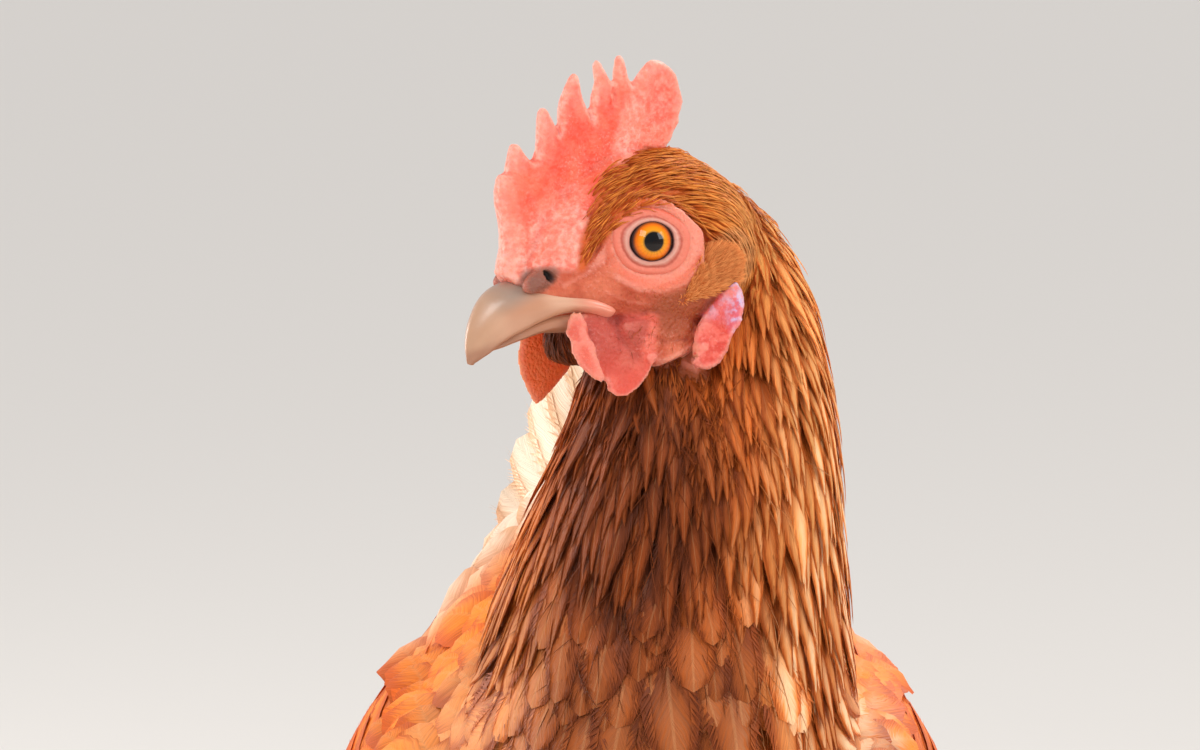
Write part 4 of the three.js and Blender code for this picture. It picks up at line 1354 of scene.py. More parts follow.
@dataclass
class Skin:
    """The one skin under the coat, with the bare face, comb, wattles and earlobes in it."""

    build: Build
    body_depth: float = 5.2
    neck_depth: float = -0.8
    thigh_depth: float = 4.5
    tail_depth: float = 1.5
    crown_depth: float = 1.7
    comb_foot: float = 3.3
    comb_top: float = 1.25
    fine: float = 0.5
    coarse: float = 2.4

    def make(self, groups: Groups) -> bpy.types.Object:
        """Builds the body and the head, welds them, and marks what is bare."""
        body = self._body()
        head = self._head()
        joined = body.modifiers.new("head", "BOOLEAN")
        joined.operation = "UNION"
        joined.solver = "MANIFOLD"
        joined.object = head
        baked(body)
        bpy.data.objects.remove(head)
        self._mark(body.data)
        body.data.shade_smooth()
        sides = [f"{node}_{side.label}" for side in Side for node in ("wing", "thigh", "wattle", "earlobe")]
        finish = SkinFinish().make(groups)
        settle_piece(body, finish, "face_skin", "torso", "neck", "head", "comb", "tail", *sides)
        return body

    def _body(self) -> bpy.types.Object:
        """The trunk, neck, thighs, folded arms and tail root as one coarse skin."""
        bm = bmesh.new()
        self.build.torso.shell(bm, 64, 72, -self.body_depth * MM)
        self.build.neck.shell(bm, 48, 48, -self.neck_depth * MM, drawn_in)
        self.build.tail_core.shell(bm, 32, 20, -self.tail_depth * MM)
        for side in Side:
            self.build.thighs[side].shell(bm, 40, 32, -self.thigh_depth * MM)
            FoldedArm(self.build, side).shell(bm)
        return welded(new_piece("skin", bm), self.coarse * MM, 6)

    def _head(self) -> bpy.types.Object:
        """The head with its comb and hanging parts as one fine skin, in place."""
        bm = bmesh.new()
        self.build.skull.shell(bm, 72, 64)
        self._comb(bm)
        for side in Side:
            self._side_of_head(bm, side.value)
        head = welded(new_piece("head_skin", bm), self.fine * MM, 3)
        spots = spots_of(head.data)
        self._sculpt(spots, normals_of(head.data))
        move_to(head.data, self.build.in_place(spots))
        return head

    def _side_of_head(self, bm: BMesh, side: int) -> None:
        """The rounded forms, the wattle and the earlobe of one side."""
        for (out, back, up), sizes, turn in SIDE_FORMS.values():
            egg(bm, (side * out, back, up), sizes, turn)
        for fold in WATTLES[side]:
            fold.add(bm, side)
        EARLOBE.add(bm, side)

    def _comb(self, bm: BMesh) -> None:
        """The comb: its outline drawn out to both sides, thick at its foot and thin at its top."""
        outline = [*COMB_EDGE, *COMB_FOOT]
        verts = [bm.verts.new((-0.5 * MM, -f * MM, u * MM)) for f, u in outline]
        face = bm.faces.new(verts)
        made = bmesh.ops.extrude_face_region(bm, geom=[face])["geom"]
        far = [g for g in made if isinstance(g, bmesh.types.BMVert)]
        bmesh.ops.translate(bm, verts=far, vec=(1 * MM, 0, 0))
        for vert in [*verts, *far]:
            height = min(1, max(0, (vert.co.z / MM + 4) / 36))
            vert.co.x *= 2 * (self.comb_foot + (self.comb_top - self.comb_foot) * height)

    def _sculpt(self, spots: Array, normals: Array) -> None:
        """Works the folds and hollows into the head's skin, in its own frame."""
        f, s, u = -spots[:, 1] / MM, spots[:, 0] / MM, spots[:, 2] / MM
        sunk = self.crown_depth * feathered(f, s, u) * smooth(f - front_of_crown(u), -0.5, -4.5)
        ripple = 0.1 * np.sin(f * 0.8 + 1.3 * np.sin(u * 0.4)) * comb_share(f, s, u)
        spots += normals * ((ripple - sunk) * MM)[:, None]
        from_edge = near_line(f, u, COMB_EDGE)
        lens = np.sqrt(1 - (1 - np.clip(from_edge / 3.4, 0, 1)) ** 2)
        blade = smooth(u - skull_top(f), 2.0, 4.5)
        spots[:, 0] *= 1 - blade * (1 - (0.22 + 0.78 * lens))
        for side in Side:
            self._orbit(spots, side.value)
            self._folds(spots, normals, side.value)
        pit = nostril_share(f, s, u)
        spots -= np.sign(spots[:, :1]) * np.array([1, 0, 0]) * (pit * 1.4 * MM)[:, None]

    @staticmethod
    def _orbit(spots: Array, side: int) -> None:
        """Dishes the skin round the eye and sinks it behind the lids."""
        frame = eye_frame(side)
        turn = np.array(frame.to_3x3())
        local = (spots - np.array(frame.translation)) @ turn / MM
        ellipse = np.hypot(local[:, 0] / LID_HALF[0], local[:, 1] / LID_HALF[1]) * LID_RING
        outer = local[:, 2] > 0
        target = 0.6 + 2.6 * smooth(ellipse, 5.2, 7.3) + 0.25 * smooth(ellipse, 7.3, 9.5)
        share = np.where(outer, smooth(ellipse, 10.8, 8.0), 0)
        local[:, 2] = local[:, 2] * (1 - share) + target * share
        spots[:] = local * MM @ turn.T + np.array(frame.translation)

    @staticmethod
    def _folds(spots: Array, normals: Array, side: int) -> None:
        """Raises the folds of the cheek and of the corner of the mouth."""
        f, s, u = -spots[:, 1] / MM, side * spots[:, 0] / MM, spots[:, 2] / MM
        for points, width, height in CHEEK_FOLDS:
            rise = height * bell(near_line(f, u, points), 0, width) * smooth(s, 3, 6)
            spots += normals * (rise * MM)[:, None]

    def _mark(self, mesh: bpy.types.Mesh) -> None:
        """Stores what is bare, comb, wattle, earlobe and fold for the skin's material, with the masks of its
        painted rim light, shade and backlight.
        """
        spots = spots_of(mesh)
        f, s, u = self.build.in_head(spots)
        near_head = smooth(-f, 30, 26) * smooth(-u, 36, 34)
        wide = np.abs(s)
        lobe = EARLOBE_AREA.share(f, u) * smooth(wide, 12.0, 13.0)
        wattle = smooth(u, -12.6, -14.0) * smooth(wide, 7.4, 8.6) * smooth(f, -1, 1.5) * near_head
        cere = smooth(f - front_of_crown(u), -0.8, 0.8) * smooth(u, -5.5, -3.5)
        # The comb's paler mottled parts: its low front, a streak and its rear blade, and painted rim light
        # along its serrated edge.
        low_front = smooth(u + 0.5 * (f - 15), 13, 5) * smooth(f, 10, 15)
        streak = smooth(np.abs(f + 0.35 * (u - 22) + 1.0), 4, 1) * smooth(u, 31, 24) * smooth(u, 13, 17)
        rim = smooth(near_line(f, u, COMB_EDGE), 1.5, 0.3)
        blade = 0.45 * smooth(f, 0, -6)
        mottle_and_rim_light = np.maximum.reduce([low_front, streak, rim, blade])
        # Painted shade: the inside of the near wattle's dish is darker, more so towards its top.
        dish = NEAR_DISH_SHADE.share(f, u) * (s > 0) * near_head * (0.3 + 0.7 * smooth(u, -25, -17.5))
        rear = near_line(f, u, LOBE_REAR)
        ahead, above = f - FLAP[0], u - FLAP[1]
        flap = np.hypot(ahead * 0.84 - above * 0.54, (ahead * 0.54 + above * 0.84) * 1.9)
        marks = {
            "bare": near_head * (1 - feathered(f, s, u)),
            "comb": np.maximum(comb_share(f, s, u), cere) * near_head,
            "mottle_and_rim_light": np.clip(0.15 + 0.85 * mottle_and_rim_light, 0, 1),
            "dish": dish,
            "fuzz": smooth(np.hypot((f + 5) / 8, (u + 13) / 7), 1.15, 0.5) * near_head,
            "lobe": lobe,
            "lobe_pale": lobe * np.maximum(smooth(rear, 3.2, 1.0), 0.5 * smooth(u, -16.5, -12)),
            "wattle": wattle,
            # Painted backlight: the far wattle is painted a brighter orange red, for light shining through it
            # from behind.
            "far_wattle_backlight": wattle * (s < 0),
            "flap": smooth(flap, 4.6, 2.6) * (wide > 3.0),
            "pit": nostril_share(f, s, u),
            "orbit": smooth(np.hypot(f - 0.5, u - 0.5) / 10, 1.1, 0.8) * near_head,
            "crease": creases(mesh, spots),
        }
        for name, values in marks.items():
            note(mesh, name, values)


def creases(mesh: bpy.types.Mesh, spots: Array, rounds: int = 10, strength: float = 1.6) -> Array:
    """Above 0.5 in hollows and below it on ridges.

    Args:
        mesh: the mesh.
        spots: the places of its vertices.
        rounds: how many times the places are evened out, which sets the width that counts.
        strength: the change for each millimetre of depth.

    Returns:
        One value for each vertex, from 0 to 1.
    """
    ends = np.empty(len(mesh.edges) * 2, np.int32)
    mesh.edges.foreach_get("vertices", ends)
    first, second = ends.reshape(-1, 2).T
    total = len(spots)
    near = np.maximum(np.bincount(first, minlength=total) + np.bincount(second, minlength=total), 1)
    calm = spots.copy()
    for _ in range(rounds):
        summed = [np.bincount(first, calm[second, k], total) + np.bincount(second, calm[first, k], total)
                  for k in range(3)]
        calm = np.stack(summed, -1) / near[:, None]
    depth = ((calm - spots) * normals_of(mesh)).sum(1) / MM
    return np.clip(0.5 + depth * strength, 0, 1)


@dataclass(frozen=True)
class Area:
    """A drawn area of the side of the head, as forward and up."""

    outline: Points
    middle: tuple[float, float]
    soft: float

    def share(self, f: Array, u: Array) -> Array:
        """1 inside the outline and 0 outside it."""
        angle = np.arctan2(u - self.middle[1], f - self.middle[0])
        edge = drawn_reach(self.outline, self.middle, angle)
        reach = np.hypot(f - self.middle[0], u - self.middle[1]) / edge
        return smooth(reach, 1 + self.soft, 1 - self.soft)


LOBE_REAR_UP = [-24.8, -23.5, -21.1, -18, -15.5, -12.4, -9.4, -7.4]
LOBE_REAR_FORWARD = [-9.4, -11.8, -13.2, -14.2, -16.0, -17.2, -16.9, -15.6]
EARLOBE_AREA = Area(EARLOBE.outline, EARLOBE.middle, 0.06)
# Where the inside of the near wattle's dish is painted in shade.
NEAR_DISH_SHADE = Area(
    ((14.1, -13.0), (13.9, -17.8), (13.4, -20.7), (12.2, -23.4), (9.0, -25.0), (5.4, -24.4), (3.6, -22.4),
     (3.2, -20.2), (2.4, -17.4), (1.6, -14.6), (8, -12.4)),
    middle=(8.6, -18.6), soft=0.1)
TUFT_AREA = Area(
    ((-4.8, -10.6), (-5.6, -8.4), (-6.2, -6.6), (-6.9, -4.4), (-8.2, -2.6), (-9.9, -1.6), (-12.1, -1.7),
     (-14.4, -2.2), (-16.2, -3.8), (-16.6, -5.9), (-15.4, -8.0), (-12.2, -9.2), (-8.2, -10.2)),
    middle=(-10.6, -6.0), soft=0.28)


def nostril_share(f: Array, s: Array, u: Array) -> Array:
    """1 inside the nostrils, which slope forward and up."""
    ahead, above = f - NOSTRIL[0], u - NOSTRIL[1]
    along = ahead * 0.7 - above * 0.7
    across = ahead * 0.7 + above * 0.7
    return smooth(np.hypot(along / 0.75, across / 1.35), 1.2, 0.8) * (np.abs(s) > 3)


def near_line(f: Array, u: Array, points: Sequence[tuple[float, float]]) -> Array:
    """The distance of places on the side of the head to a broken line.

    Args:
        f: forward of the eyes, in millimetres.
        u: up from the eyes, in millimetres.
        points: the line's corners, as forward and up.

    Returns:
        One distance for each place.
    """
    best = np.full(len(f), 1e9)
    for (f0, u0), (f1, u1) in zip(points, points[1:]):
        run_f, run_u = f1 - f0, u1 - u0
        share = np.clip(((f - f0) * run_f + (u - u0) * run_u) / (run_f**2 + run_u**2), 0, 1)
        best = np.minimum(best, np.hypot(f - f0 - share * run_f, u - u0 - share * run_u))
    return best


def front_of_crown(u: Array) -> Array:
    """How far forward the crown's feathers reach at a height."""
    return np.interp(u, [-4, 1, 6, 10.5, 14], [15.7, 14.8, 12.2, 9.4, 6.0])


def skull_top(f: Array) -> Array:
    """The height of the skull's top, forward of the eyes by f."""
    rows = np.array(SKULL)
    return np.interp(f, rows[:, 0], rows[:, 1] + rows[:, 3])


def comb_share(f: Array, s: Array, u: Array) -> Array:
    """1 on the comb and 0 off it."""
    above = smooth(u - skull_top(f), -0.6, 0.8) * smooth(f, -14.5, -13)
    front = smooth(f, 17, 20) * smooth(u, -9.5, -7.5)
    return np.maximum(above, front) * smooth(np.abs(s), 5.2, 3.6)


def feathered(f: Array, s: Array, u: Array) -> Array:
    """1 where the head is feathered and 0 where it is bare."""
    wide = np.abs(s)
    brow = np.interp(f, BROW_FORWARD, BROW_UP)
    crown = smooth(u - brow, -0.6, 0.6) * smooth(f - front_of_crown(u), 0.7, -0.7)
    ear = smooth(f, -8.0, -9.2) * smooth(u, -9.8, -8.8) * smooth(wide, 7, 9)
    nape = smooth(f, -17.6, -19.0)
    throat = smooth(wide, 8.5, 6.8) * smooth(u, -15.5, -17.5) * smooth(f, 21, 19)
    jaw = smooth(u + 0.42 * np.minimum(f, 0), -24.0, -25.2) * smooth(f, 8, 5)
    behind = smooth(f - np.interp(u, LOBE_REAR_UP, LOBE_REAR_FORWARD), -0.1, -1.1) * smooth(u, -5, -7)
    covered = np.maximum.reduce([crown, ear, nape, throat, jaw, behind])
    lobe = EARLOBE_AREA.share(f, u) * smooth(wide, 9.5, 11)
    wattle = smooth(u, -12.6, -14.0) * smooth(wide, 7.4, 8.8) * smooth(f, -0.5, 2)
    return covered * (1 - comb_share(f, s, u)) * (1 - np.maximum(lobe, wattle))


def eye_frame(side: int) -> Matrix:
    """The eye's frame in the head: +Z looks out of the eye, +X forward and +Y up or down."""
    out = Vector((side * math.cos(EYE_SWING), -math.sin(EYE_SWING), 0.05)).normalized()
    forward = Vector((0, -1, 0))
    forward = (forward - out * forward.dot(out)).normalized()
    turn = Matrix((forward, out.cross(forward), out)).transposed().to_4x4()
    out_by, back, up = EYE_PLACE
    return Matrix.Translation(Vector((side * out_by, back, up)) * MM) @ turn


@dataclass(frozen=True)
class SkinFinish:
    """Bare skin on the face, comb and lobes with painted shade, highlights, rim light and backlight, and the
    coat's markings elsewhere.
    """

    name: str = "face_skin"
    grain: float = 1500.0

    def make(self, groups: Groups) -> bpy.types.Material:
        """Builds the material from the marks on the mesh."""
        made, t = new_material(self.name)
        height, flecks, blotch = t.node("Group", node_tree=groups.pebbles, named={"Size": self.grain}).outputs
        plumage = t.node("Group", node_tree=groups.plumage).outputs
        crease = t.number("crease")
        patchy = t.step(blotch, 0.35, 0.65)
        face = t.layered(
            t.mix(patchy, tint(196, 84, 52), tint(224, 118, 84)),
            (t.number("fuzz", 0.9), tint(166, 76, 38)),
            (t.number("orbit"), tint(240, 124, 96)))
        lace = t.line(t.step(t.noise(760, 5), 0.36, 0.7), 0.7,
                      t.times(t.step(t.noise(230, 4), 0.4, 0.7), 0.3))
        comb = t.layered(
            t.mix(patchy, tint(244, 66, 38), tint(252, 104, 72)),
            # Paler mottling on the comb, with painted rim light along its serrated edge.
            (t.number("mottle_and_rim_light", 0.55), tint(255, 146, 122)),
            (t.times(lace, t.number("mottle_and_rim_light")), tint(255, 186, 168)))
        wattle = t.mix(patchy, tint(224, 86, 66), tint(240, 120, 98))
        # Painted shade inside the near wattle's dish.
        wattle = t.mix(t.number("dish", 0.85), wattle, tint(184, 68, 52))
        lobe = t.mix(t.step(t.noise(500, 3), 0.4, 0.62), tint(220, 72, 56), tint(238, 108, 92))
        violet = t.mix(t.step(t.noise(600, 4), 0.4, 0.62), tint(222, 96, 112), tint(204, 188, 224))
        # Painted shade: the skin is darker in its hollows, less so on the comb.
        painted_crease_shade = t.times(t.step(crease, 0.54, 0.95), t.line(t.number("comb"), -0.6, 1.0))
        skin = t.layered(
            face,
            (t.number("comb"), comb),
            (t.number("wattle"), wattle),
            # Painted backlight: light shining through the far wattle from behind.
            (t.number("far_wattle_backlight"), tint(255, 128, 70)),
            (t.number("lobe"), lobe),
            (t.number("lobe_pale"), violet),
            (t.times(painted_crease_shade, 0.6), tint(156, 50, 36)),
            # Painted highlight: the skin is paler on its ridges.
            (t.times(t.step(crease, 0.44, 0.1), 0.35), tint(255, 176, 156)),
            (t.times(flecks, t.line(t.number("comb"), 0.06, 0.14)), tint(255, 206, 194)),
            (t.number("flap", 0.85), tint(116, 76, 62)),
            # Painted shade: the nostrils' openings are painted near black.
            (t.number("pit"), tint(30, 16, 14)))
        coat = t.mix(0.2, plumage["Edge"], tint(130, 60, 28))
        finish_tree(t, t.mix(t.number("bare"), coat, skin), height, 0.0003,
                    {"Roughness": 0.5, "Subsurface Weight": 0.4, "Subsurface Radius": (1.0, 0.3, 0.16),
                     "Subsurface Scale": 0.004, "Specular IOR Level": 0.4})
        return made


@dataclass
class FoldedArm:
    """The folded wing's arm: a lens that follows the flank."""

    build: Build
    side: Side
    start: float = 0.26
    end: float = 0.72
    low: float = -0.24
    high: float = 0.68
    thick: float = 5.0
    sunk: float = 9.0
    tilt: float = 0.12
    taper: float = 0.25
    depth: float = 1.6
    rim_depth: float = 4.5

    def flank(self, t: Array, angle: Array, out: Array) -> Array:
        """Places on this side of the trunk."""
        turned = angle if self.side is Side.LEFT else math.pi - angle
        return self.build.torso.points(t, turned, out)

    def height(self, t: Array, angle: Array) -> Array:
        """The arm's height above the trunk, in metres."""
        z = 2 * (t - self.start) / (self.end - self.start) - 1
        middle = (self.low + self.high) / 2 + self.tilt * z
        y = 2 * (angle - middle) / (self.high - self.low) / (1 - self.taper * z)
        return self.thick * MM * np.maximum(0, 1 - y * y - z * z) ** 0.8

    def facing(self, t: Array, angle: Array) -> Array:
        """The way that the arm's surface faces."""
        step = 0.004

        def spot(t: Array, angle: Array) -> Array:
            """A place of the arm's surface."""
            return self.flank(t, angle, self.height(t, angle))

        along = spot(t + step, angle) - spot(t - step, angle)
        around = spot(t, angle + step) - spot(t, angle - step)
        return unit(np.cross(along, around)) * -self.side.value

    def mapped(self, t: Array, angle: Array) -> Array:
        """Places on the unwrap."""
        chart = CHARTS[f"wing_{self.side.label}"]
        share = (t - 0.25) / 0.5
        turn = 0.1 + 0.8 * (angle - self.low) / (self.high - self.low)
        return chart.at(share, turn * 2 * math.pi)

    def rows(self, span: tuple[float, float], gap: float, rng: Draws) -> Roots:
        """Roots of small coverts in staggered rows down the arm.

        Args:
            span: the first and last share along the trunk.
            gap: the distance between neighbours, in metres.
            rng: draws the small offsets.

        Returns:
            The roots.
        """
        length = self.build.torso.length(*span)
        tall = 0.5 * self.build.torso.girth(0.4) * (self.high - self.low) / math.pi
        rows, each = max(2, int(length / gap)), int(tall / gap)
        shares, angles = [], []
        for row in range(rows):
            share = (np.arange(each) + 0.5 * (row % 2)) / each + rng.normal(0, 0.2, each) / each
            angles.append(self.low + 0.02 + (self.high - self.low - 0.06) * share)
            t = span[0] + (span[1] - span[0]) * (row + rng.normal(0, 0.2, each)) / rows
            shares.append(t)
        t, angle = np.concatenate(shares), np.concatenate(angles)
        keep = self.height(t, angle) > 0.2 * MM
        t, angle = t[keep], angle[keep]
        return Roots(self.flank(t, angle, self.height(t, angle) - self.depth * MM), self.mapped(t, angle))

    def shell(self, bm: BMesh) -> None:
        """Adds the arm's skin, inside its coverts."""
        made, round_co = sphere(bm, 40, 28)
        x, y, z = round_co.T
        t = self.start + (self.end - self.start) * (z + 1) / 2
        middle = (self.low + self.high) / 2 + self.tilt * z
        angle = middle + (self.high - self.low) / 2 * y * (1 - self.taper * z)
        risen = (self.thick - self.depth) * x - self.rim_depth * (1 - x) ** 2
        out = np.where(x > 0, risen, self.sunk * x - self.rim_depth) * MM
        set_places(made, self.flank(t, angle, out))


# ---- eyes and lids ---------------------------------------------------------------------------------

# The lids' section: out from the middle of the eye, and out of the head.
LID_PROFILE = [
    (3.95, 2.9), (4.08, 3.35), (4.2, 3.72), (4.42, 3.92), (4.7, 3.96), (5.0, 3.86), (5.28, 3.66),
    (5.45, 3.52), (5.62, 3.47), (5.9, 3.48), (6.3, 3.47), (6.7, 3.42), (7.05, 3.34), (7.35, 3.12),
    (7.6, 2.75), (7.85, 2.2), (8.0, 1.4), (7.8, 0.5),
]

@dataclass
class Eye:
    """An eyeball with its iris, and the ring of lids round it."""

    build: Build
    side: Side
    iris: float = 3.75
    pupil: float = 1.75
    bulge: float = 0.45
    ball_ramp: float = 5.0
    lid_ramp: float = 9.0
    behind: float = 9.0

    def make(self) -> None:
        """Builds the ball and the lids."""
        frame = self.build.head @ eye_frame(self.side.value)
        self._ball(frame)
        self._lids(frame)

    def _ball(self, frame: Matrix) -> None:
        """The eyeball, its poles on the way that it looks."""
        bm = bmesh.new()
        bmesh.ops.create_uvsphere(bm, u_segments=64, v_segments=64, radius=EYE_RADIUS * MM)
        for vert in bm.verts:
            reach = vert.co.xy.length / MM
            if vert.co.z > 0 and reach < self.iris:
                vert.co.z += self.bulge * MM * (1 - (reach / self.iris) ** 2)
        reaches = np.array([v.co.xy.length / MM if v.co.z > 0 else self.behind for v in bm.verts])
        angles = np.array([math.atan2(v.co.y, v.co.x) for v in bm.verts])
        ball = new_piece(f"eyeball_{self.side.label}", bm, frame)
        note(ball.data, "reach", reaches)
        note(ball.data, "round", np.sin(angles * 24) * 0.5 + np.sin(angles * 41 + 1) * 0.5)
        settle_piece(ball, self._ball_finish(), "eye", f"eye_{self.side.label}")

    def _ball_finish(self) -> bpy.types.Material:
        """Amber iris, black pupil and a wet surface."""
        made, t = new_material(f"eye_{self.side.label}")
        ramp = t.node("ValToRGB", t.math("DIVIDE", t.number("reach"), self.ball_ramp))
        stops = [(0, (5, 7, 10)), (self.pupil, (8, 10, 12)), (self.pupil + 0.12, (150, 106, 40)),
                 (self.pupil + 0.4, (236, 150, 20)), (2.7, (248, 140, 4)), (3.25, (226, 104, 0)),
                 (3.5, (150, 70, 18)), (3.72, (58, 36, 34)), (4.2, (30, 20, 24)), (4.6, (120, 84, 84))]
        set_stops(ramp, stops, self.ball_ramp)
        rays = t.times(t.step(t.number("round"), 0.0, 0.9), 0.16)
        colour = t.mix(rays, ramp.outputs[0], tint(120, 62, 10))
        finish_tree(t, colour, t.number("round"), 0.00003,
                    {"Roughness": 0.4, "Coat Weight": 0.6, "Coat Roughness": 0.02, "Coat IOR": 1.5,
                     "Specular IOR Level": 0.0})
        return made

    def _lids(self, frame: Matrix) -> None:
        """The lids: a spun ring of folds, uneven round the eye and longer forward than up."""
        bm = bmesh.new()
        verts = [bm.verts.new((r * MM, 0, out * MM)) for r, out in LID_PROFILE]
        edges = [bm.edges.new(pair) for pair in zip(verts, verts[1:])]
        bmesh.ops.spin(bm, geom=[*verts, *edges], cent=(0, 0, 0), axis=(0, 0, 1), angle=2 * math.pi,
                       steps=144, use_merge=True)
        bmesh.ops.remove_doubles(bm, verts=bm.verts, dist=1e-6)
        spots = np.array([v.co for v in bm.verts]) / MM
        reach = np.hypot(spots[:, 0], spots[:, 1])
        angle = np.arctan2(-self.side.value * spots[:, 1], spots[:, 0])
        outer = smooth(reach, 4.6, 6.0)
        swell = 1 + outer * (0.05 * np.sin(2 * angle + 0.6) - 0.04 * np.sin(angle) + 0.02 * np.sin(5 * angle))
        swell = swell * (1 - 0.035 * smooth(np.sin(angle), 0.5, 1.0) * (1 - outer))
        spots[:, 0] *= swell * LID_HALF[0] / LID_RING
        spots[:, 1] *= swell * LID_HALF[1] / LID_RING
        wave = np.sin(31 * angle + 3 * np.sin(3 * angle)) + 0.7 * np.sin(19 * angle + 5 * reach)
        spots[:, 2] += 0.04 * wave * smooth(reach, 4.3, 5.2) * smooth(reach, 6.9, 6.2)
        under = smooth(np.sin(angle - 0.5), 0.1, -0.5)
        spots[:, 2] += (0.26 * bell(reach, 6.5, 0.4) - 0.22 * bell(reach, 7.2, 0.3)) * under
        set_places(bm.verts, spots * MM)
        lids = new_piece(f"lids_{self.side.label}", bm, frame)
        note(lids.data, "reach", reach)
        made, t = new_material(f"lids_{self.side.label}")
        drift = t.line(t.noise(420, 2), 0.5, -0.25)
        ramp = t.node("ValToRGB", t.math("DIVIDE", t.math("ADD", t.number("reach"), drift), self.lid_ramp))
        stops = [(3.9, (36, 22, 26)), (4.2, (110, 66, 62)), (4.45, (208, 142, 126)), (4.95, (222, 160, 142)),
                 (5.3, (206, 118, 98)), (5.55, (190, 82, 62)), (5.9, (226, 124, 100)), (6.6, (230, 122, 98)),
                 (7.2, (232, 116, 90)), (8.2, (240, 124, 96))]
        set_stops(ramp, stops, self.lid_ramp)
        finish_tree(t, ramp.outputs[0], t.noise(2600, 3), 0.00014,
                    {"Roughness": 0.45, "Subsurface Weight": 0.15, "Subsurface Radius": (1.0, 0.35, 0.25),
                     "Subsurface Scale": 0.0015})
        settle_piece(lids, made, "face_skin")


# ---- bill ------------------------------------------------------------------------------------------


@dataclass
class Bill:
    """The two horny halves of the bill."""

    build: Build

    def make(self) -> None:
        """Builds both halves."""
        finish = self._finish()
        for name, rows, node, shape in (
            ("bill_upper", UPPER_BILL, "beak_upper", self._upper_shape),
            ("bill_lower", LOWER_BILL, "beak_lower", None),
        ):
            bm = bmesh.new()
            Loft(headed(rows), HEADWARDS).shell(bm, 64, 72, 0.0, shape)
            piece = new_piece(name, bm, self.build.head)
            f, _, u = self.build.in_head(spots_of(piece.data))
            note(piece.data, "tip", smooth(f, 26, 34))
            note(piece.data, "top", smooth(u + 0.55 * (f - 20), -9, -5))
            note(piece.data, "rear", smooth(f, 18, 11))
            note(piece.data, "low", 0.7 * smooth(u + 0.35 * (f - 20), -13.4, -15.6) * smooth(f, 12, 16))
            settle_piece(piece, finish, "horn", node)

    @staticmethod
    def _upper_shape(t: Array, angle: Array) -> Array:
        """A sharper ridge on top, a square cutting edge, and a groove between two rims behind."""
        mirrored = np.where(np.abs(angle) > math.pi / 2, np.sign(angle) * math.pi - angle, angle)
        ridge = 0.3 * bell(mirrored, math.pi / 2, 0.35)
        edge = 0.9 * bell(mirrored, -0.75, 0.34) * smooth(t, 0.95, 0.7)
        groove = -0.45 * bell(mirrored, 0.1, 0.2) * smooth(t, 0.6, 0.35) * smooth(t, 0.02, 0.12)
        return (ridge + edge + groove) * MM

    @staticmethod
    def _finish() -> bpy.types.Material:
        """Layered horn, grey on top, pink at the sides and pale at the tip."""
        made, t = new_material("horn")
        grain = t.noise(700, 2)
        broad = t.step(t.noise(90, 1), 0.35, 0.65)
        side = t.mix(broad, tint(196, 140, 108), tint(218, 168, 138))
        top = t.mix(broad, tint(158, 134, 118), tint(186, 160, 142))
        colour = t.layered(
            side,
            (t.number("top"), top),
            (t.number("tip"), tint(196, 150, 118)),
            (t.number("low"), tint(160, 104, 76)),
            (t.number("rear"), tint(236, 148, 122)))
        finish_tree(t, colour, grain, 0.00005,
                    {"Roughness": 0.34, "Subsurface Weight": 0.12, "Subsurface Radius": (1.0, 0.6, 0.4),
                     "Subsurface Scale": 0.0015, "Coat Weight": 0.25, "Coat Roughness": 0.2})
        return made


# ---- the coat --------------------------------------------------------------------------------------


SWIRL = (-2, -6)  # the feathers of the head lie round this point of its side
TUFT_TRIES = 17000
TUFT_SPAN = ((-17.5, -4), (-11.5, -1))  # forward and up of the places that are tried
TUFT_ROOT = (-4.5, -11.0)  # the tufts fan out from here
OPEN_GAP = 6.0  # skin that is further than this from every root is open

# Tiers of feathers: the shares along the body, the gaps between rows and between neighbours, and the cut.
HACKLE_TIERS = {
    "nape": ((0.7, 0.985), (2.4, 0.9), Cut(10, 1.8, Profile.LANCE, 5, 1.5, 10, 0.22, roll=0.12, yaw=0.09)),
    "upper": ((0.58, 0.82), (3.8, 1.45), Cut(15, 2.8, Profile.LANCE, 6, 2.3, 14, 0.18, roll=0.1, yaw=0.08)),
    "lower": ((0.38, 0.64), (5.4, 2.1), Cut(21, 3.9, Profile.LANCE, 7, 2.9, 18, 0.15, roll=0.08, yaw=0.07)),
    "cape": ((0.1, 0.42), (6.6, 2.8), Cut(26, 5.2, Profile.LANCE, 8, 3.3, 22, 0.13, roll=0.08, yaw=0.07)),
}
TRUNK_TIERS = {
    "breast": ((0.005, 0.2), (7.4, 6.2), Cut(22, 11, Profile.BROAD, 8, 4.4, 22, 0.12, roll=0.06)),
    "side": ((0.2, 0.42), (7.8, 6.6), Cut(25, 13, Profile.ROUND, 9, 4.8, roll=0.05, fray=0.03)),
    "back": ((0.42, 0.7), (8.2, 7.0), Cut(27, 14, Profile.ROUND, 9, 5.0, roll=0.05, fray=0.03)),
    "rump": ((0.7, 0.94), (7.8, 6.6), Cut(29, 13, Profile.ROUND, 9, 5.4, roll=0.06, fray=0.03)),
}
COVERT_TIERS = (
    ((0.35, 0.44), 6.4, Cut(22, 11.5, Profile.ROUND, 8, 3.6, roll=0.04, fray=0.03)),
    ((0.25, 0.37), 5.8, Cut(19, 10.5, Profile.ROUND, 8, 3.8, roll=0.04, fray=0.03)),
)


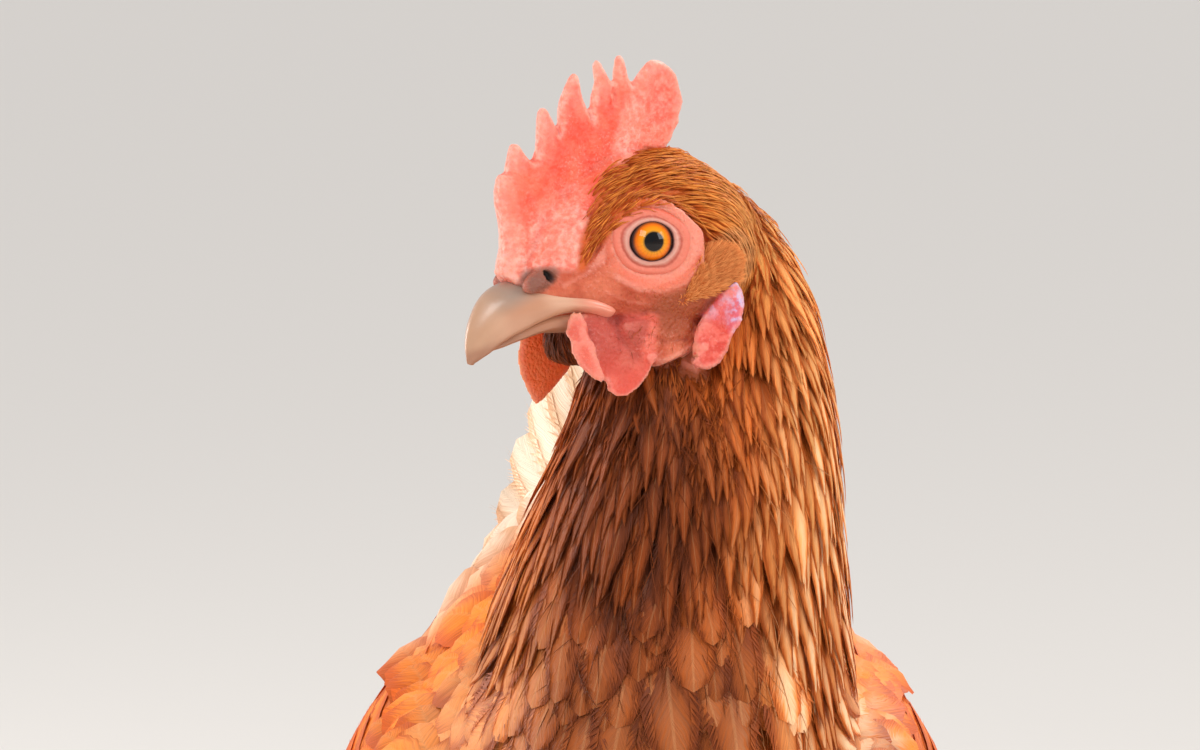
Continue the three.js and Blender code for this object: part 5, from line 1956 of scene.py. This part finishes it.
@dataclass
class Plumage:
    """Every feather of the hen."""

    build: Build
    ground: Ground
    groups: Groups

    def make(self) -> None:
        """Lays each region's feathers and joins them into pieces."""
        self._head()
        self._neck()
        self._trunk()
        self._wings()
        self._tail()
        self._thighs()
        self._fill()

    def flow(self, spots: Array) -> Array:
        """The way that the feathers lie.

        Args:
            spots: places on the skin.

        Returns:
            One direction for each place, not yet scaled and not yet laid along the skin.
        """
        saddle = (smooth(spots[:, 1], 0.0, 0.05) * smooth(spots[:, 2], 0.21, 0.25))[:, None]
        trunk = np.array([0, 1, -0.45]) + np.array([0, 0, 0.95]) * saddle
        neck = np.array([0, 0.12, -1.0])
        raised = smooth(spots[:, 2], 0.25, 0.285)[:, None]
        raised = raised * smooth(spots[:, 1], -0.03, -0.06)[:, None]
        pull = trunk * (1 - raised) + neck * raised
        front = (smooth(spots[:, 1], -0.112, -0.14) * smooth(spots[:, 2], 0.15, 0.19))[:, None]
        pull = pull * (1 - front) + neck * front
        on_thigh = (smooth(spots[:, 2], 0.165, 0.14) * smooth(np.abs(spots[:, 0]), 0.012, 0.025)
                    * smooth(spots[:, 1], 0.03, 0.01) * smooth(spots[:, 1], -0.09, -0.06))[:, None]
        pull = pull * (1 - on_thigh) + np.array([0, 0.3, -1]) * on_thigh
        f, _, u = self.build.in_head(spots)
        ahead, above = f - SWIRL[0], u - SWIRL[1]
        away = np.maximum(np.hypot(ahead, above), 1)
        swirl = np.stack([np.zeros_like(f), above / away + 0.45, ahead / away], -1)
        under = (smooth(u, -11, -16) * smooth(f, 3, 8))[:, None]
        swirl = swirl * (1 - under) + np.array([0, 0.45, -1]) * under
        on_head = (smooth(spots[:, 2], 0.326, 0.345) * smooth(f, -24, -14))[:, None]
        on_head = np.maximum(on_head, under * smooth(spots[:, 2], 0.315, 0.325)[:, None])
        return pull * (1 - on_head) + self.build.out_of_head(swirl) * on_head

    def _head(self) -> None:
        """The crown's fine feathers, the ear tufts and the bristles of the face."""
        rng = np.random.default_rng(11)
        fine = FeatherFinish("crown", 9, 0.6, contrast=0.3, shaft=0.0).make(self.groups)
        roots = self._on_skull((0.02, 0.9), (1.15, 0.38), rng)
        foot, _ = self.ground.settle(roots.spots)
        f, s, u = self.build.in_head(foot)
        tuft = TUFT_AREA.share(f, u) * smooth(np.abs(s), 8, 10)
        grown = np.maximum(feathered(f, s, u), feathered(f - 1.1, s, u) * (u > 0))
        keep = rng.random(len(f)) < grown * (1 - tuft) * smooth(-u, 26, 18)
        size = (0.5 + 0.5 * smooth(f, 13, -14))[keep]
        crown = Coat("crown_feathers")
        cut = Cut(7.4, 0.5, Profile.LANCE, 4, 1.1, sunk=0.4, camber=0.2, roll=0.25, yaw=0.1, vary=0.2)
        crown.grow(self.ground, roots.kept(keep), cut, self.flow, rng, size, bare=self._kept_bare)
        crown.piece(fine, "hackle")
        down = Cut(9, 3.6, Profile.LANCE, 5, 2.2, 12, 0.3, web=0.3, yaw=0.25, roll=0.3)
        hair = Cut(4.4, 0.42, Profile.LANCE, 4, 0.8, sunk=0.3, yaw=0.2, roll=0.3)
        for name, density, place, cut in (
            ("jaw_down", 0.34, self._on_jaw, down),
            ("chin_hair", 2.4, self._on_chin, hair),
        ):
            coat = Coat(name)
            spots = self.ground.scattered(density, place, rng)
            roots = Roots(spots, self._head_map(spots))
            coat.grow(self.ground, roots, cut, self.flow, rng, bare=self._kept_bare)
            coat.piece(fine, "hackle")
        self._tufts(rng)
        bristles = Coat("face_bristles")
        spots = self.ground.scattered(0.55, self._on_cheek, rng)
        cut = Cut(1.9, 0.08, Profile.FILAMENT, 2, 0.35, sunk=0.3, yaw=0.35, vary=0.3)
        bristles.grow(self.ground, Roots(spots, self._head_map(spots)), cut, self.flow, rng)
        bristles.piece(fine, "hackle")

    def _head_map(self, spots: Array) -> Array:
        """The unwrap's places of spots on the head."""
        f, s, u = self.build.in_head(spots)
        return CHARTS["head"].at(np.clip(0.5 - f / 80, 0, 1), np.arctan2(u + 8, s))

    def _kept_bare(self, spots: Array) -> Array:
        """Which places belong to the lobes, wattles and the eye's surrounds."""
        f, s, u = self.build.in_head(spots)
        wide = np.abs(s)
        lobe = (EARLOBE_AREA.share(f, u) > 0.5) & (wide > 10)
        face = (feathered(f, s, u) < 0.35) & (f > -10) & (f < 16) & (u < 4) & (u > -28) & (wide > 7)
        return lobe | face

    def _on_jaw(self, spots: Array) -> Array:
        """The soft down below the jaw and behind the earlobes."""
        f, s, u = self.build.in_head(spots)
        below = smooth(u, -23, -25) * smooth(u, -42, -34) * smooth(f, -22, -16) * smooth(f, 16, 12)
        return below * (feathered(f, s, u) > 0.5)

    def _on_chin(self, spots: Array) -> Array:
        """The chin and the lower margin of the bare face."""
        f, s, u = self.build.in_head(spots)
        return feathered(f, s, u) * smooth(f, -14, -10) * smooth(u, -14, -16) * smooth(u, -34, -28)

    def _on_cheek(self, spots: Array) -> Array:
        """The bare cheek, where short bristles grow."""
        f, s, u = self.build.in_head(spots)
        off_eye = smooth(np.hypot(f, u), 9.4, 10.6)
        soft = (1 - feathered(f, s, u)) * off_eye * smooth(f, 11, 3) * smooth(f, -14, -11)
        return soft * (1 - EARLOBE_AREA.share(f, u)) * smooth(u, -21, -18) * smooth(u, 6, 3) * (np.abs(s) > 7)

    def _on_skull(self, span: tuple[float, float], gap: tuple[float, float], rng: Draws) -> Roots:
        """Roots all over the skull, in place."""
        skull = in_rows(self.build.skull, CHARTS["head"], span, gap, rng, loose=0.4)
        return self.ground.close_by(Roots(self.build.in_place(skull.spots), skull.mapped), 6.5)

    def _tufts(self, rng: Draws) -> None:
        """The velvety tufts over the ears, fanned back and up from their front corner."""
        coat = Coat("ear_tufts")
        cut = Cut(3.8, 0.22, Profile.FILAMENT, 2, 0, roll=0.4)
        for side in Side:
            f, u = (rng.uniform(*span, TUFT_TRIES) for span in TUFT_SPAN)
            thick = TUFT_AREA.share(f, u)
            inside = rng.random(TUFT_TRIES) < thick
            f, u, thick = f[inside], u[inside], thick[inside]
            count = len(f)
            spots = np.stack([np.full(count, side.value * 14.0), -f, u], -1) * MM
            foot, _ = self.ground.settle(self.build.in_place(spots))
            fan = unit(np.stack([np.zeros(count), TUFT_ROOT[0] - f, u - TUFT_ROOT[1]], -1) + [0, 1e-6, 0])
            fan = fan + rng.normal(0, 0.2, fan.shape)
            length = cut.length * rng.normal(1, 0.14, count) * (0.65 + 0.35 * smooth(-f, 5, 11))
            length *= (0.4 + 0.6 * thick) * MM
            out = np.array([side.value, 0, 0])
            ahead = [foot - self.build.out_of_head(out * 0.4 * MM)]
            for share, rise in ((0.58, 1.3), (0.42, 0.35)):
                step = self.build.out_of_head(unit(fan + out * rise))
                ahead.append(ahead[-1] + step * (share * length)[:, None])
            ups = np.broadcast_to(self.build.out_of_head(out), (count, 3, 3))
            half = np.full(count, 0.5 * cut.width * MM)
            mapped = CHARTS["head"].at(0.4 - f / 40, 1.4 * side.value + u / 12)
            coat.lay(np.stack(ahead, 1), ups, half, cut, mapped, rng)
        coat.piece(self._velvet(), "hackle")

    @staticmethod
    def _velvet() -> bpy.types.Material:
        """The ear tufts' golden brown, paler towards the tips."""
        made, t = new_material("velvet")
        _, along, _ = t.node("SeparateXYZ", t.node("UVMap", uv_map="Vane").outputs[0]).outputs
        share = t.math("ADD", t.step(along, 0.2, 1.0), t.line(t.number("tone"), 0.4, -0.25))
        colour = t.mix(share, tint(206, 96, 36), tint(255, 174, 104))
        finish_tree(t, colour, t.noise(900, 2), 0.00002, {"Roughness": 0.7, "Specular IOR Level": 0.1})
        return made

    def _neck(self) -> None:
        """The hackle: lances that grow longer and wider down the neck, and the throat's loose filaments."""
        rng = np.random.default_rng(23)
        finish = FeatherFinish("hackle", 40, 0.35, streak_width=0.6, streak_from=0.3).make(self.groups)
        coats = {name: Coat(f"hackle_{name}") for name in HACKLE_TIERS}
        for name, (span, gap, cut) in HACKLE_TIERS.items():
            roots = in_rows(self.build.neck, CHARTS["neck"], span, gap, rng, drawn_in, 0.4)
            roots = roots.kept(self._on_neck(roots))
            broad = rng.random(len(roots.spots)) < self._on_front(roots.spots)
            slim = roots.kept(~broad)
            size = 0.5 + 0.5 * smooth(slim.spots[:, 2], 0.362, 0.345)
            coats[name].grow(self.ground, slim, cut, self.flow, rng, size, bare=self._kept_bare)
            wide = replace(cut, profile=Profile.ROUND, width=cut.width * 1.9, length=cut.length * 0.82)
            coats[name].grow(self.ground, roots.kept(broad), wide, self.flow, rng)
        for coat in coats.values():
            coat.piece(finish, "hackle")
        strands = Coat("throat_strands")
        roots = in_rows(self.build.neck, CHARTS["neck"], (0.3, 0.93), (2.4, 1.8), rng, drawn_in, 0.5)
        facing = smooth(roots.spots[:, 1], -0.128, -0.142) * smooth(roots.spots[:, 0], 0.03, 0.018)
        roots = roots.kept(self._on_neck(roots) & (rng.random(len(facing)) < facing))
        cut = Cut(11, 0.24, Profile.FILAMENT, 4, 3.4, yaw=0.3, vary=0.3, camber=0.6, roll=0.6)
        strands.grow(self.ground, roots, cut, self.flow, rng, bare=self._kept_bare)
        strands.piece(finish, "hackle")

    @staticmethod
    def _on_front(spots: Array) -> Array:
        """1 low on the front of the neck, where the feathers are broad, and 0 elsewhere."""
        low = smooth(spots[:, 2], 0.302, 0.28)
        return low * smooth(spots[:, 1], -0.116, -0.132) * smooth(np.abs(spots[:, 0] + 0.002), 0.032, 0.018)

    def _on_neck(self, roots: Roots) -> Array:
        """Which roots are near the skin, not on the bare face and not low on the shoulders."""
        foot, _ = self.ground.settle(roots.spots)
        f, s, u = self.build.in_head(foot)
        bare = (f > -28) & (u > -36) & (feathered(f, s, u) < 0.5) & (np.abs(s) < 24) & (f < 28)
        low = (foot[:, 2] < 0.268) & (np.abs(foot[:, 0] - 0.004) > 0.031)
        return (np.linalg.norm(foot - roots.spots, axis=1) < 6 * MM) & ~bare & ~low

    def _trunk(self) -> None:
        """The breast, back, flanks and belly."""
        rng = np.random.default_rng(37)
        finish = FeatherFinish("body_feathers", 44, 0.35).make(self.groups)
        for name, (span, gap, cut) in TRUNK_TIERS.items():
            coat = Coat(f"{name}_feathers")
            roots = in_rows(self.build.torso, CHARTS["torso"], span, gap, rng, -Skin.body_depth * MM, 0.34)
            coat.grow(self.ground, self.ground.close_by(roots, 5), cut, self.flow, rng)
            coat.piece(finish, "body_plumage")

    def _wings(self) -> None:
        """The folded wings: the great feathers in tiers, then small coverts in rows over them."""
        rng = np.random.default_rng(53)
        flight = FeatherFinish("flight_feathers", 90, 0.4).make(self.groups)
        small = FeatherFinish("wing_coverts", 44, 0.35).make(self.groups)
        for side in Side:
            arm = FoldedArm(self.build, side)
            flights, coverts = Coat(f"flights_{side.label}"), Coat(f"coverts_{side.label}")
            for coat, tier in zip((flights, flights, coverts, coverts), WING_TIERS):
                self.ground.rooted.append(tier.lay(coat, arm, rng))
            for span, gap, cut in COVERT_TIERS:
                roots = arm.rows(span, gap * MM, rng)
                coverts.grow(self.ground, roots, cut, self.flow, rng, base=0.9 * MM)
            flights.piece(flight, "wing_feathers")
            coverts.piece(small, "wing_feathers")

    def _tail(self) -> None:
        """The tail's tent of feathers and its coverts."""
        rng = np.random.default_rng(61)
        great, over = Coat("tail_great"), Coat("tail_coverts")
        for side in Side:
            tent = Tent(self.build, side)
            for coat, tier in zip((great, over, over), TAIL_TIERS):
                tent.lay(coat, tier, rng)
        great.piece(FeatherFinish("tail_vanes", 90, 0.4).make(self.groups), "tail_feathers")
        over.piece(FeatherFinish("tail_covers", 50, 0.35).make(self.groups), "tail_feathers")

    def _thighs(self) -> None:
        """The soft feathers of the thighs."""
        rng = np.random.default_rng(71)
        coat = Coat("thigh_feathers")
        cut = Cut(19, 9, Profile.ROUND, 6, 4.2, 14, 0.16)
        for side in Side:
            chart = CHARTS[f"thigh_{side.label}"]
            roots = in_rows(self.build.thighs[side], chart, (0.2, 0.97), (6.2, 5.0), rng, -4 * MM)
            roots = self.ground.close_by(roots, 4)
            size = 0.55 + 0.45 * smooth(roots.spots[:, 2], 0.105, 0.14)
            coat.grow(self.ground, roots, cut, self.flow, rng, size)
        coat.piece(FeatherFinish("thigh", 36, 0.35).make(self.groups), "body_plumage")

    def _fill(self) -> None:
        """Closes the coat where the rows of two regions leave the skin open."""
        rng = np.random.default_rng(83)

        def low(spots: Array) -> Array:
            """1 below the neck and above the shanks."""
            return (spots[:, 2] < 0.3) & (spots[:, 2] > 0.104)

        places = self.ground.open_places(low, OPEN_GAP * MM, rng)
        LOG.info("open places: %d", len(places))
        turn = np.arctan2(places[:, 2] - 0.2, places[:, 0])
        mapped = CHARTS["torso"].at(np.clip(0.5 + places[:, 1] / 0.3, 0, 1), turn)
        coat = Coat("joining_feathers")
        cut = Cut(22, 10, Profile.ROUND, 8, 4.2, roll=0.08, fray=0.04)
        coat.grow(self.ground, Roots(places, mapped), cut, self.flow, rng)
        coat.piece(FeatherFinish("joining", 44, 0.35).make(self.groups), "body_plumage")


@dataclass(frozen=True)
class WingTier:
    """A row of long feathers of the folded wing, from its lowest to its highest one."""

    count: int
    roots: tuple[tuple[float, float], tuple[float, float]]
    tips: tuple[tuple[float, float], tuple[float, float]]
    level: float
    cut: Cut

    def lay(self, coat: Coat, arm: FoldedArm, rng: Draws) -> Array:
        """Lays the row's feathers over the arm.

        Args:
            coat: the piece that takes them.
            arm: the folded arm of one side.
            rng: draws the small differences.

        Returns:
            The places along the feathers' middles.
        """
        share = np.linspace(0, 1, self.count)[:, None]
        root = np.array(self.roots[0]) * (1 - share) + np.array(self.roots[1]) * share
        tip = np.array(self.tips[0]) * (1 - share) + np.array(self.tips[1]) * share
        tip = tip + rng.normal(0, 0.005, tip.shape)
        s = all_along(self.cut.segments)
        t = root[:, :1] + (tip - root)[:, :1] * s
        angle = root[:, 1:] + (tip - root)[:, 1:] * s**1.4
        level = -1.6 + (self.level + 1.6 - share**2 * (self.level + 0.4)) * np.minimum(1, s / 0.2)
        out = arm.height(t, angle) + level * MM
        spots = arm.flank(t, angle, out)
        ups = arm.facing(t, angle)
        half = 0.5 * self.cut.width * MM * (1 + rng.normal(0, 0.04, self.count))
        mapped = arm.mapped(t[:, 0], angle[:, 0])
        coat.lay(spots, ups, half, self.cut, mapped, rng, arm.side.value * 0.07)
        return spots.reshape(-1, 3)


WING_TIERS = [
    WingTier(7, ((0.58, -0.08), (0.62, 0.16)), ((0.8, 0.02), (0.9, 0.3)), 0.9,
             Cut(90, 13, Profile.ROUND, 12, 0, 34, 0.1, roll=0.01, camber=0.1, fray=0.04)),
    WingTier(12, ((0.42, -0.1), (0.5, 0.5)), ((0.66, -0.06), (0.83, 0.64)), 2.0,
             Cut(80, 16, Profile.ROUND, 12, 0, 32, 0.1, roll=0.01, camber=0.12, fray=0.04)),
    WingTier(12, ((0.36, -0.1), (0.4, 0.52)), ((0.53, -0.08), (0.64, 0.66)), 3.2,
             Cut(60, 14, Profile.ROUND, 10, 0, 26, 0.12, roll=0.02, camber=0.14, fray=0.06)),
    WingTier(13, ((0.31, -0.08), (0.33, 0.48)), ((0.45, -0.06), (0.49, 0.6)), 4.3,
             Cut(40, 12, Profile.ROUND, 8, 0, 18, 0.14, roll=0.03, camber=0.14, fray=0.08)),
]


@dataclass(frozen=True)
class TailTier:
    """One layer of the tail: values of its top feather and its lowest one, in millimetres."""

    pairs: int
    length: tuple[float, float]
    down: tuple[float, float]
    fan: tuple[float, float]
    over: float
    ahead: float
    cut: Cut


TAIL_TIERS = [
    TailTier(8, (112, 88), (2.4, 24), (2, 36), 0, 0,
             Cut(100, 19, Profile.ROUND, 12, 0, 36, 0.1, roll=0.01, camber=0.1, fray=0.04)),
    TailTier(8, (66, 48), (3.2, 24), (3, 38), 1.2, -7,
             Cut(60, 15, Profile.ROUND, 8, 0, 22, 0.14, roll=0.02, camber=0.14, fray=0.08)),
    TailTier(9, (46, 34), (2.4, 25), (3, 40), 2.2, -16,
             Cut(44, 13, Profile.ROUND, 8, 0, 16, 0.16, roll=0.03, camber=0.14, fray=0.1)),
]


@dataclass
class Tent:
    """One side of the tail's tent."""

    build: Build
    side: Side
    rise: float = math.radians(50)
    lean: float = math.radians(30)
    spread: float = 6.0
    root: tuple[float, float, float] = (0, 138, 268)

    def lay(self, coat: Coat, tier: TailTier, rng: Draws) -> None:
        """Lays the feathers of a layer from the ridge down.

        Args:
            coat: the piece that takes them.
            tier: the layer.
            rng: draws the small differences.
        """
        ridge = np.array([0, math.cos(self.rise), math.sin(self.rise)])
        down = np.array([self.side.value * math.sin(self.lean), 0, -math.cos(self.lean)])
        facing = unit(np.cross(down, ridge)) * self.side.value
        share = np.linspace(0, 1, tier.pairs)[:, None]
        fan = np.radians(tier.fan[0] + (tier.fan[1] - tier.fan[0]) * share)
        heading = ridge * np.cos(fan) + down * np.sin(fan)
        root = np.array(self.root) + np.array([0, self.build.shift / MM + tier.ahead, 0])
        root = root + down * (tier.down[0] + (tier.down[1] - tier.down[0]) * share)
        length = tier.length[0] + (tier.length[1] - tier.length[0]) * share + rng.normal(0, 1.2, share.shape)
        s = all_along(tier.cut.segments)
        rise = tier.over + (1 - share) * 0.6 * np.minimum(1, s / 0.2)
        bow = 3.0 * s**2
        spots = (root[:, None] + (heading * length)[:, None] * s[:, None] + facing * (rise - bow)[..., None]
                 + down * self.spread * s[:, None])
        ups = np.broadcast_to(facing, spots.shape)
        half = np.full(tier.pairs, 0.5 * tier.cut.width * MM)
        mapped = CHARTS["tail"].at(0.1 + share[:, 0] * 0.4, np.full(tier.pairs, 1.6 + self.side.value))
        mapped = mapped + [0, 0.03 * TAIL_TIERS.index(tier)]
        coat.lay(spots * MM, ups, half, tier.cut, mapped, rng, self.side.value * 0.05)


# ---- legs ------------------------------------------------------------------------------------------

SHANK = [
    [0, 21, 109, 5, 5, 5],
    [0, 20, SHANK_RISE, 6.6, 6.8, 6.6],
    [0, 17, 90, 5.2, 5.4, 5.6],
    [0, 11, 60, 4.3, 4.8, 5.2],
    [0, 5, 30, 4.4, 4.8, 5.2],
    [0, 1, 12, 5.6, 5.8, 5.6],
    [0, 0, 5, 6, 6.4, 6.2],
]
# A toe's stations: the share of its length, its height and the share of its width.
TOE_ROWS = [(0, 4.2, 0.9), (0.25, 3.9, 1), (0.5, 3.6, 0.94), (0.75, 3.3, 0.9), (0.95, 3, 0.78), (1, 2.9, 0.5)]


@dataclass(frozen=True)
class Toe:
    """One toe with its claw, in millimetres and degrees from straight ahead."""

    name: str
    length: float
    turn: float
    wide: float

    def stations(self) -> list[list[float]]:
        """The toe's stations, from its root to the claw."""
        made = []
        for share, high, size in TOE_ROWS:
            wide = self.wide * size
            made.append([0, -6 - (self.length - 6) * share, high, wide, wide * 0.95, wide])
        return made

    def claw(self) -> list[list[float]]:
        """The claw's stations."""
        start, w = -self.length + 1.2, self.wide
        return [
            [0, start, 3.0, 0.3 * w, 0.3 * w, 0.3 * w],
            [0, start - 1.8, 2.95, 0.46 * w, 0.46 * w, 0.44 * w],
            [0, start - 5, 2.8, 0.42 * w, 0.4 * w, 0.38 * w],
            [0, start - 9, 2, 0.3 * w, 0.28 * w, 0.28 * w],
            [0, start - 12.9, 0.75, 0.3, 0.3, 0.3],
        ]


TOES = [
    Toe("middle", 47, 2, 4.4),
    Toe("inner", 36, -34, 4.1),
    Toe("outer", 39, 36, 4.1),
    Toe("hind", 20, 184, 3.5),
]


@dataclass
class Leg:
    """A scaled shank with its four toes and their claws."""

    build: Build
    side: Side
    plates: int = 21
    fine: float = 0.5

    def make(self) -> None:
        """Builds the scaled skin and the claws."""
        place = Vector((self.side.value * FOOT_SPREAD * MM, FOOT_FORWARD * MM + self.build.shift, 0))
        label = self.side.label
        leg = self._scaled()
        claws = self._claws()
        for piece in (leg, claws):
            spots = spots_of(piece.data)
            spots[:, 2] = np.maximum(spots[:, 2], 0)
            move_to(piece.data, spots + np.array(place))
        toes = [f"toe_{toe.name}_{label}" for toe in TOES]
        settle_piece(leg, self._skin_finish(), "leg_skin", f"shank_{label}", *toes)
        settle_piece(claws, self._claw_finish(), "claw", *(f"claw_{toe.name}_{label}" for toe in TOES))

    def _turned(self, bm: BMesh, verts: list[bmesh.types.BMVert], toe: Toe) -> None:
        """Turns a toe's vertices round the foot to its own heading."""
        turn = Matrix.Rotation(math.radians(self.side.value * toe.turn), 4, "Z")
        bmesh.ops.transform(bm, verts=verts, matrix=turn)

    def _scaled(self) -> bpy.types.Object:
        """The shank, pad and toes welded into one skin."""
        bm = bmesh.new()
        Loft(SHANK, HEADWARDS).shell(bm, 64, 260, 0.0, self._scutes)
        egg(bm, (0, 0, 3.6), (9, 8.4, 5.4), fine=48)
        for toe in TOES:
            made = Loft(toe.stations(), HEADWARDS).shell(bm, 48, 120, 0.0, self._toe_scales(toe))
            self._turned(bm, made, toe)
        return welded(new_piece(f"leg_{self.side.label}", bm), self.fine * MM, 1)

    def _scutes(self, t: Array, angle: Array) -> Array:
        """Broad overlapping plates in front and small scales behind."""
        front = smooth(np.sin(angle), 0.05, 0.3)
        lane = (angle > math.pi / 2) * 0.5
        ramp = np.mod(t * self.plates + lane, 1)
        plate = 0.75 * ramp**2.5 - 0.25 * bell(np.abs(angle), math.pi / 2, 0.05)
        down = t * self.plates
        lanes = np.sin(angle * 7 + np.floor(down * 2.1))
        small = 0.22 * np.abs(np.sin(down * math.pi * 2.1) * lanes)
        return (plate * front + small * (1 - front)) * MM

    @staticmethod
    def _toe_scales(toe: Toe) -> Callable[[Array, Array], Array]:
        """Plates on a toe's top and round pads under it."""

        def shape(t: Array, angle: Array) -> Array:
            """The scales' height."""
            top = smooth(np.sin(angle), 0.0, 0.3)
            ramp = np.mod(t * toe.length / 3.1, 1)
            pads = 0.45 * np.abs(np.sin(t * math.pi * toe.length / 11))
            return (0.45 * ramp**2.5 * top + pads * (1 - top)) * MM

        return shape

    def _claws(self) -> bpy.types.Object:
        """The four claws."""
        bm = bmesh.new()
        for toe in TOES:
            made = Loft(toe.claw(), HEADWARDS).shell(bm, 32, 32)
            self._turned(bm, made, toe)
        return new_piece(f"claws_{self.side.label}", bm)

    def _skin_finish(self) -> bpy.types.Material:
        """Yellow-buff horny plates."""
        made, t = new_material(f"leg_{self.side.label}")
        grain = t.noise(900, 3)
        colour = t.mix(t.step(t.noise(90, 3), 0.35, 0.65), tint(208, 164, 98), tint(232, 196, 136))
        colour = t.mix(t.step(grain, 0.4, 0.8), colour, tint(176, 126, 74))
        finish_tree(t, colour, grain, 0.0001, {"Roughness": 0.42, "Specular IOR Level": 0.45})
        return made

    def _claw_finish(self) -> bpy.types.Material:
        """Pale brown horn."""
        made, t = new_material(f"claws_{self.side.label}")
        grain = t.noise(300, 3)
        colour = t.mix(grain, tint(150, 118, 88), tint(206, 178, 142))
        finish_tree(t, colour, grain, 0.00008, {"Roughness": 0.32, "Specular IOR Level": 0.5})
        return made


# ---- studio ----------------------------------------------------------------------------------------


@dataclass
class Studio:
    """The plain pale floor, the soft lights and the camera."""

    build: Build
    eye_distance: float = 0.830
    pitch: float = math.radians(7)
    lens: float = 132.0
    eye_right: float = 52 / 4400  # the left eye's place right of the middle and above it, for each metre
    eye_above: float = 133 / 4400
    floor_half: float = 12.0

    def make(self) -> None:
        """Builds the floor, the lights and the camera."""
        self._floor()
        self._lights()
        self._camera()

    def _floor(self) -> None:
        """A wide pale floor."""
        bm = bmesh.new()
        bmesh.ops.create_grid(bm, x_segments=8, y_segments=8, size=self.floor_half)
        floor = new_piece("floor", bm, flat=True)
        made, t = new_material("pale_floor")
        finish_tree(t, tint(226, 220, 213), t.noise(60, 2), 0.0001,
                    {"Roughness": 0.9, "Specular IOR Level": 0.1})
        floor.data.materials.append(made)

    def _camera(self) -> None:
        """The camera in front of the hen, a little above its head."""
        low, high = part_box("eye_left")
        eye = (low + high) / 2
        ahead = Vector((0, math.cos(self.pitch), -math.sin(self.pitch)))
        up = Vector((0, math.sin(self.pitch), math.cos(self.pitch)))
        right = Vector((1, 0, 0))
        reach = self.eye_distance
        data = bpy.data.cameras.new("camera")
        data.lens = self.lens
        data.sensor_width = 36.0
        camera = bpy.data.objects.new("camera", data)
        camera.location = eye - ahead * reach - right * reach * self.eye_right - up * reach * self.eye_above
        camera.rotation_euler = (math.pi / 2 - self.pitch, 0, 0)
        bpy.context.scene.collection.objects.link(camera)
        bpy.context.scene.camera = camera

    @staticmethod
    def _hang(data: bpy.types.Light, place: tuple[float, float, float]) -> None:
        """Hangs a lamp that looks at the hen's neck."""
        lamp = bpy.data.objects.new(data.name, data)
        lamp.location = place
        lamp.rotation_euler = (Vector((0, -0.05, 0.27)) - Vector(place)).to_track_quat("-Z", "Y").to_euler()
        bpy.context.scene.collection.objects.link(lamp)

    def _lights(self) -> None:
        """A soft sky, two broad lamps in front, a weak one behind and a sun over the hen's back."""
        world = bpy.data.worlds.new("studio")
        world.use_nodes = True
        sky = world.node_tree.nodes["Background"]
        sky.inputs[0].default_value = tint(236, 238, 242)
        sky.inputs[1].default_value = 0.6
        bpy.context.scene.world = world
        for name, place, size, power in (
            ("key", (-0.9, -1.3, 1.5), 0.9, 17),
            ("side", (1.3, -0.7, 1.0), 0.8, 12),
            ("back", (-1.2, 0.5, 0.35), 0.6, 8),
        ):
            data = bpy.data.lights.new(name, "AREA")
            data.shape = "SQUARE"
            data.size = size
            data.energy = power
            self._hang(data, place)
        rim = bpy.data.lights.new("rim", "SUN")
        rim.energy = 1.7
        rim.angle = math.radians(24)
        self._hang(rim, (0.9, 1.5, 1.9))
        bpy.context.scene.view_settings.view_transform = "Standard"


def main() -> None:
    """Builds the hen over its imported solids."""
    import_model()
    build = Build()
    groups = Groups()
    skin = Skin(build).make(groups)
    for side in Side:
        Eye(build, side).make()
    Bill(build).make()
    Plumage(build, Ground(skin), groups).make()
    for side in Side:
        Leg(build, side).make()
    Studio(build).make()


if __name__ == "__main__":
    main()
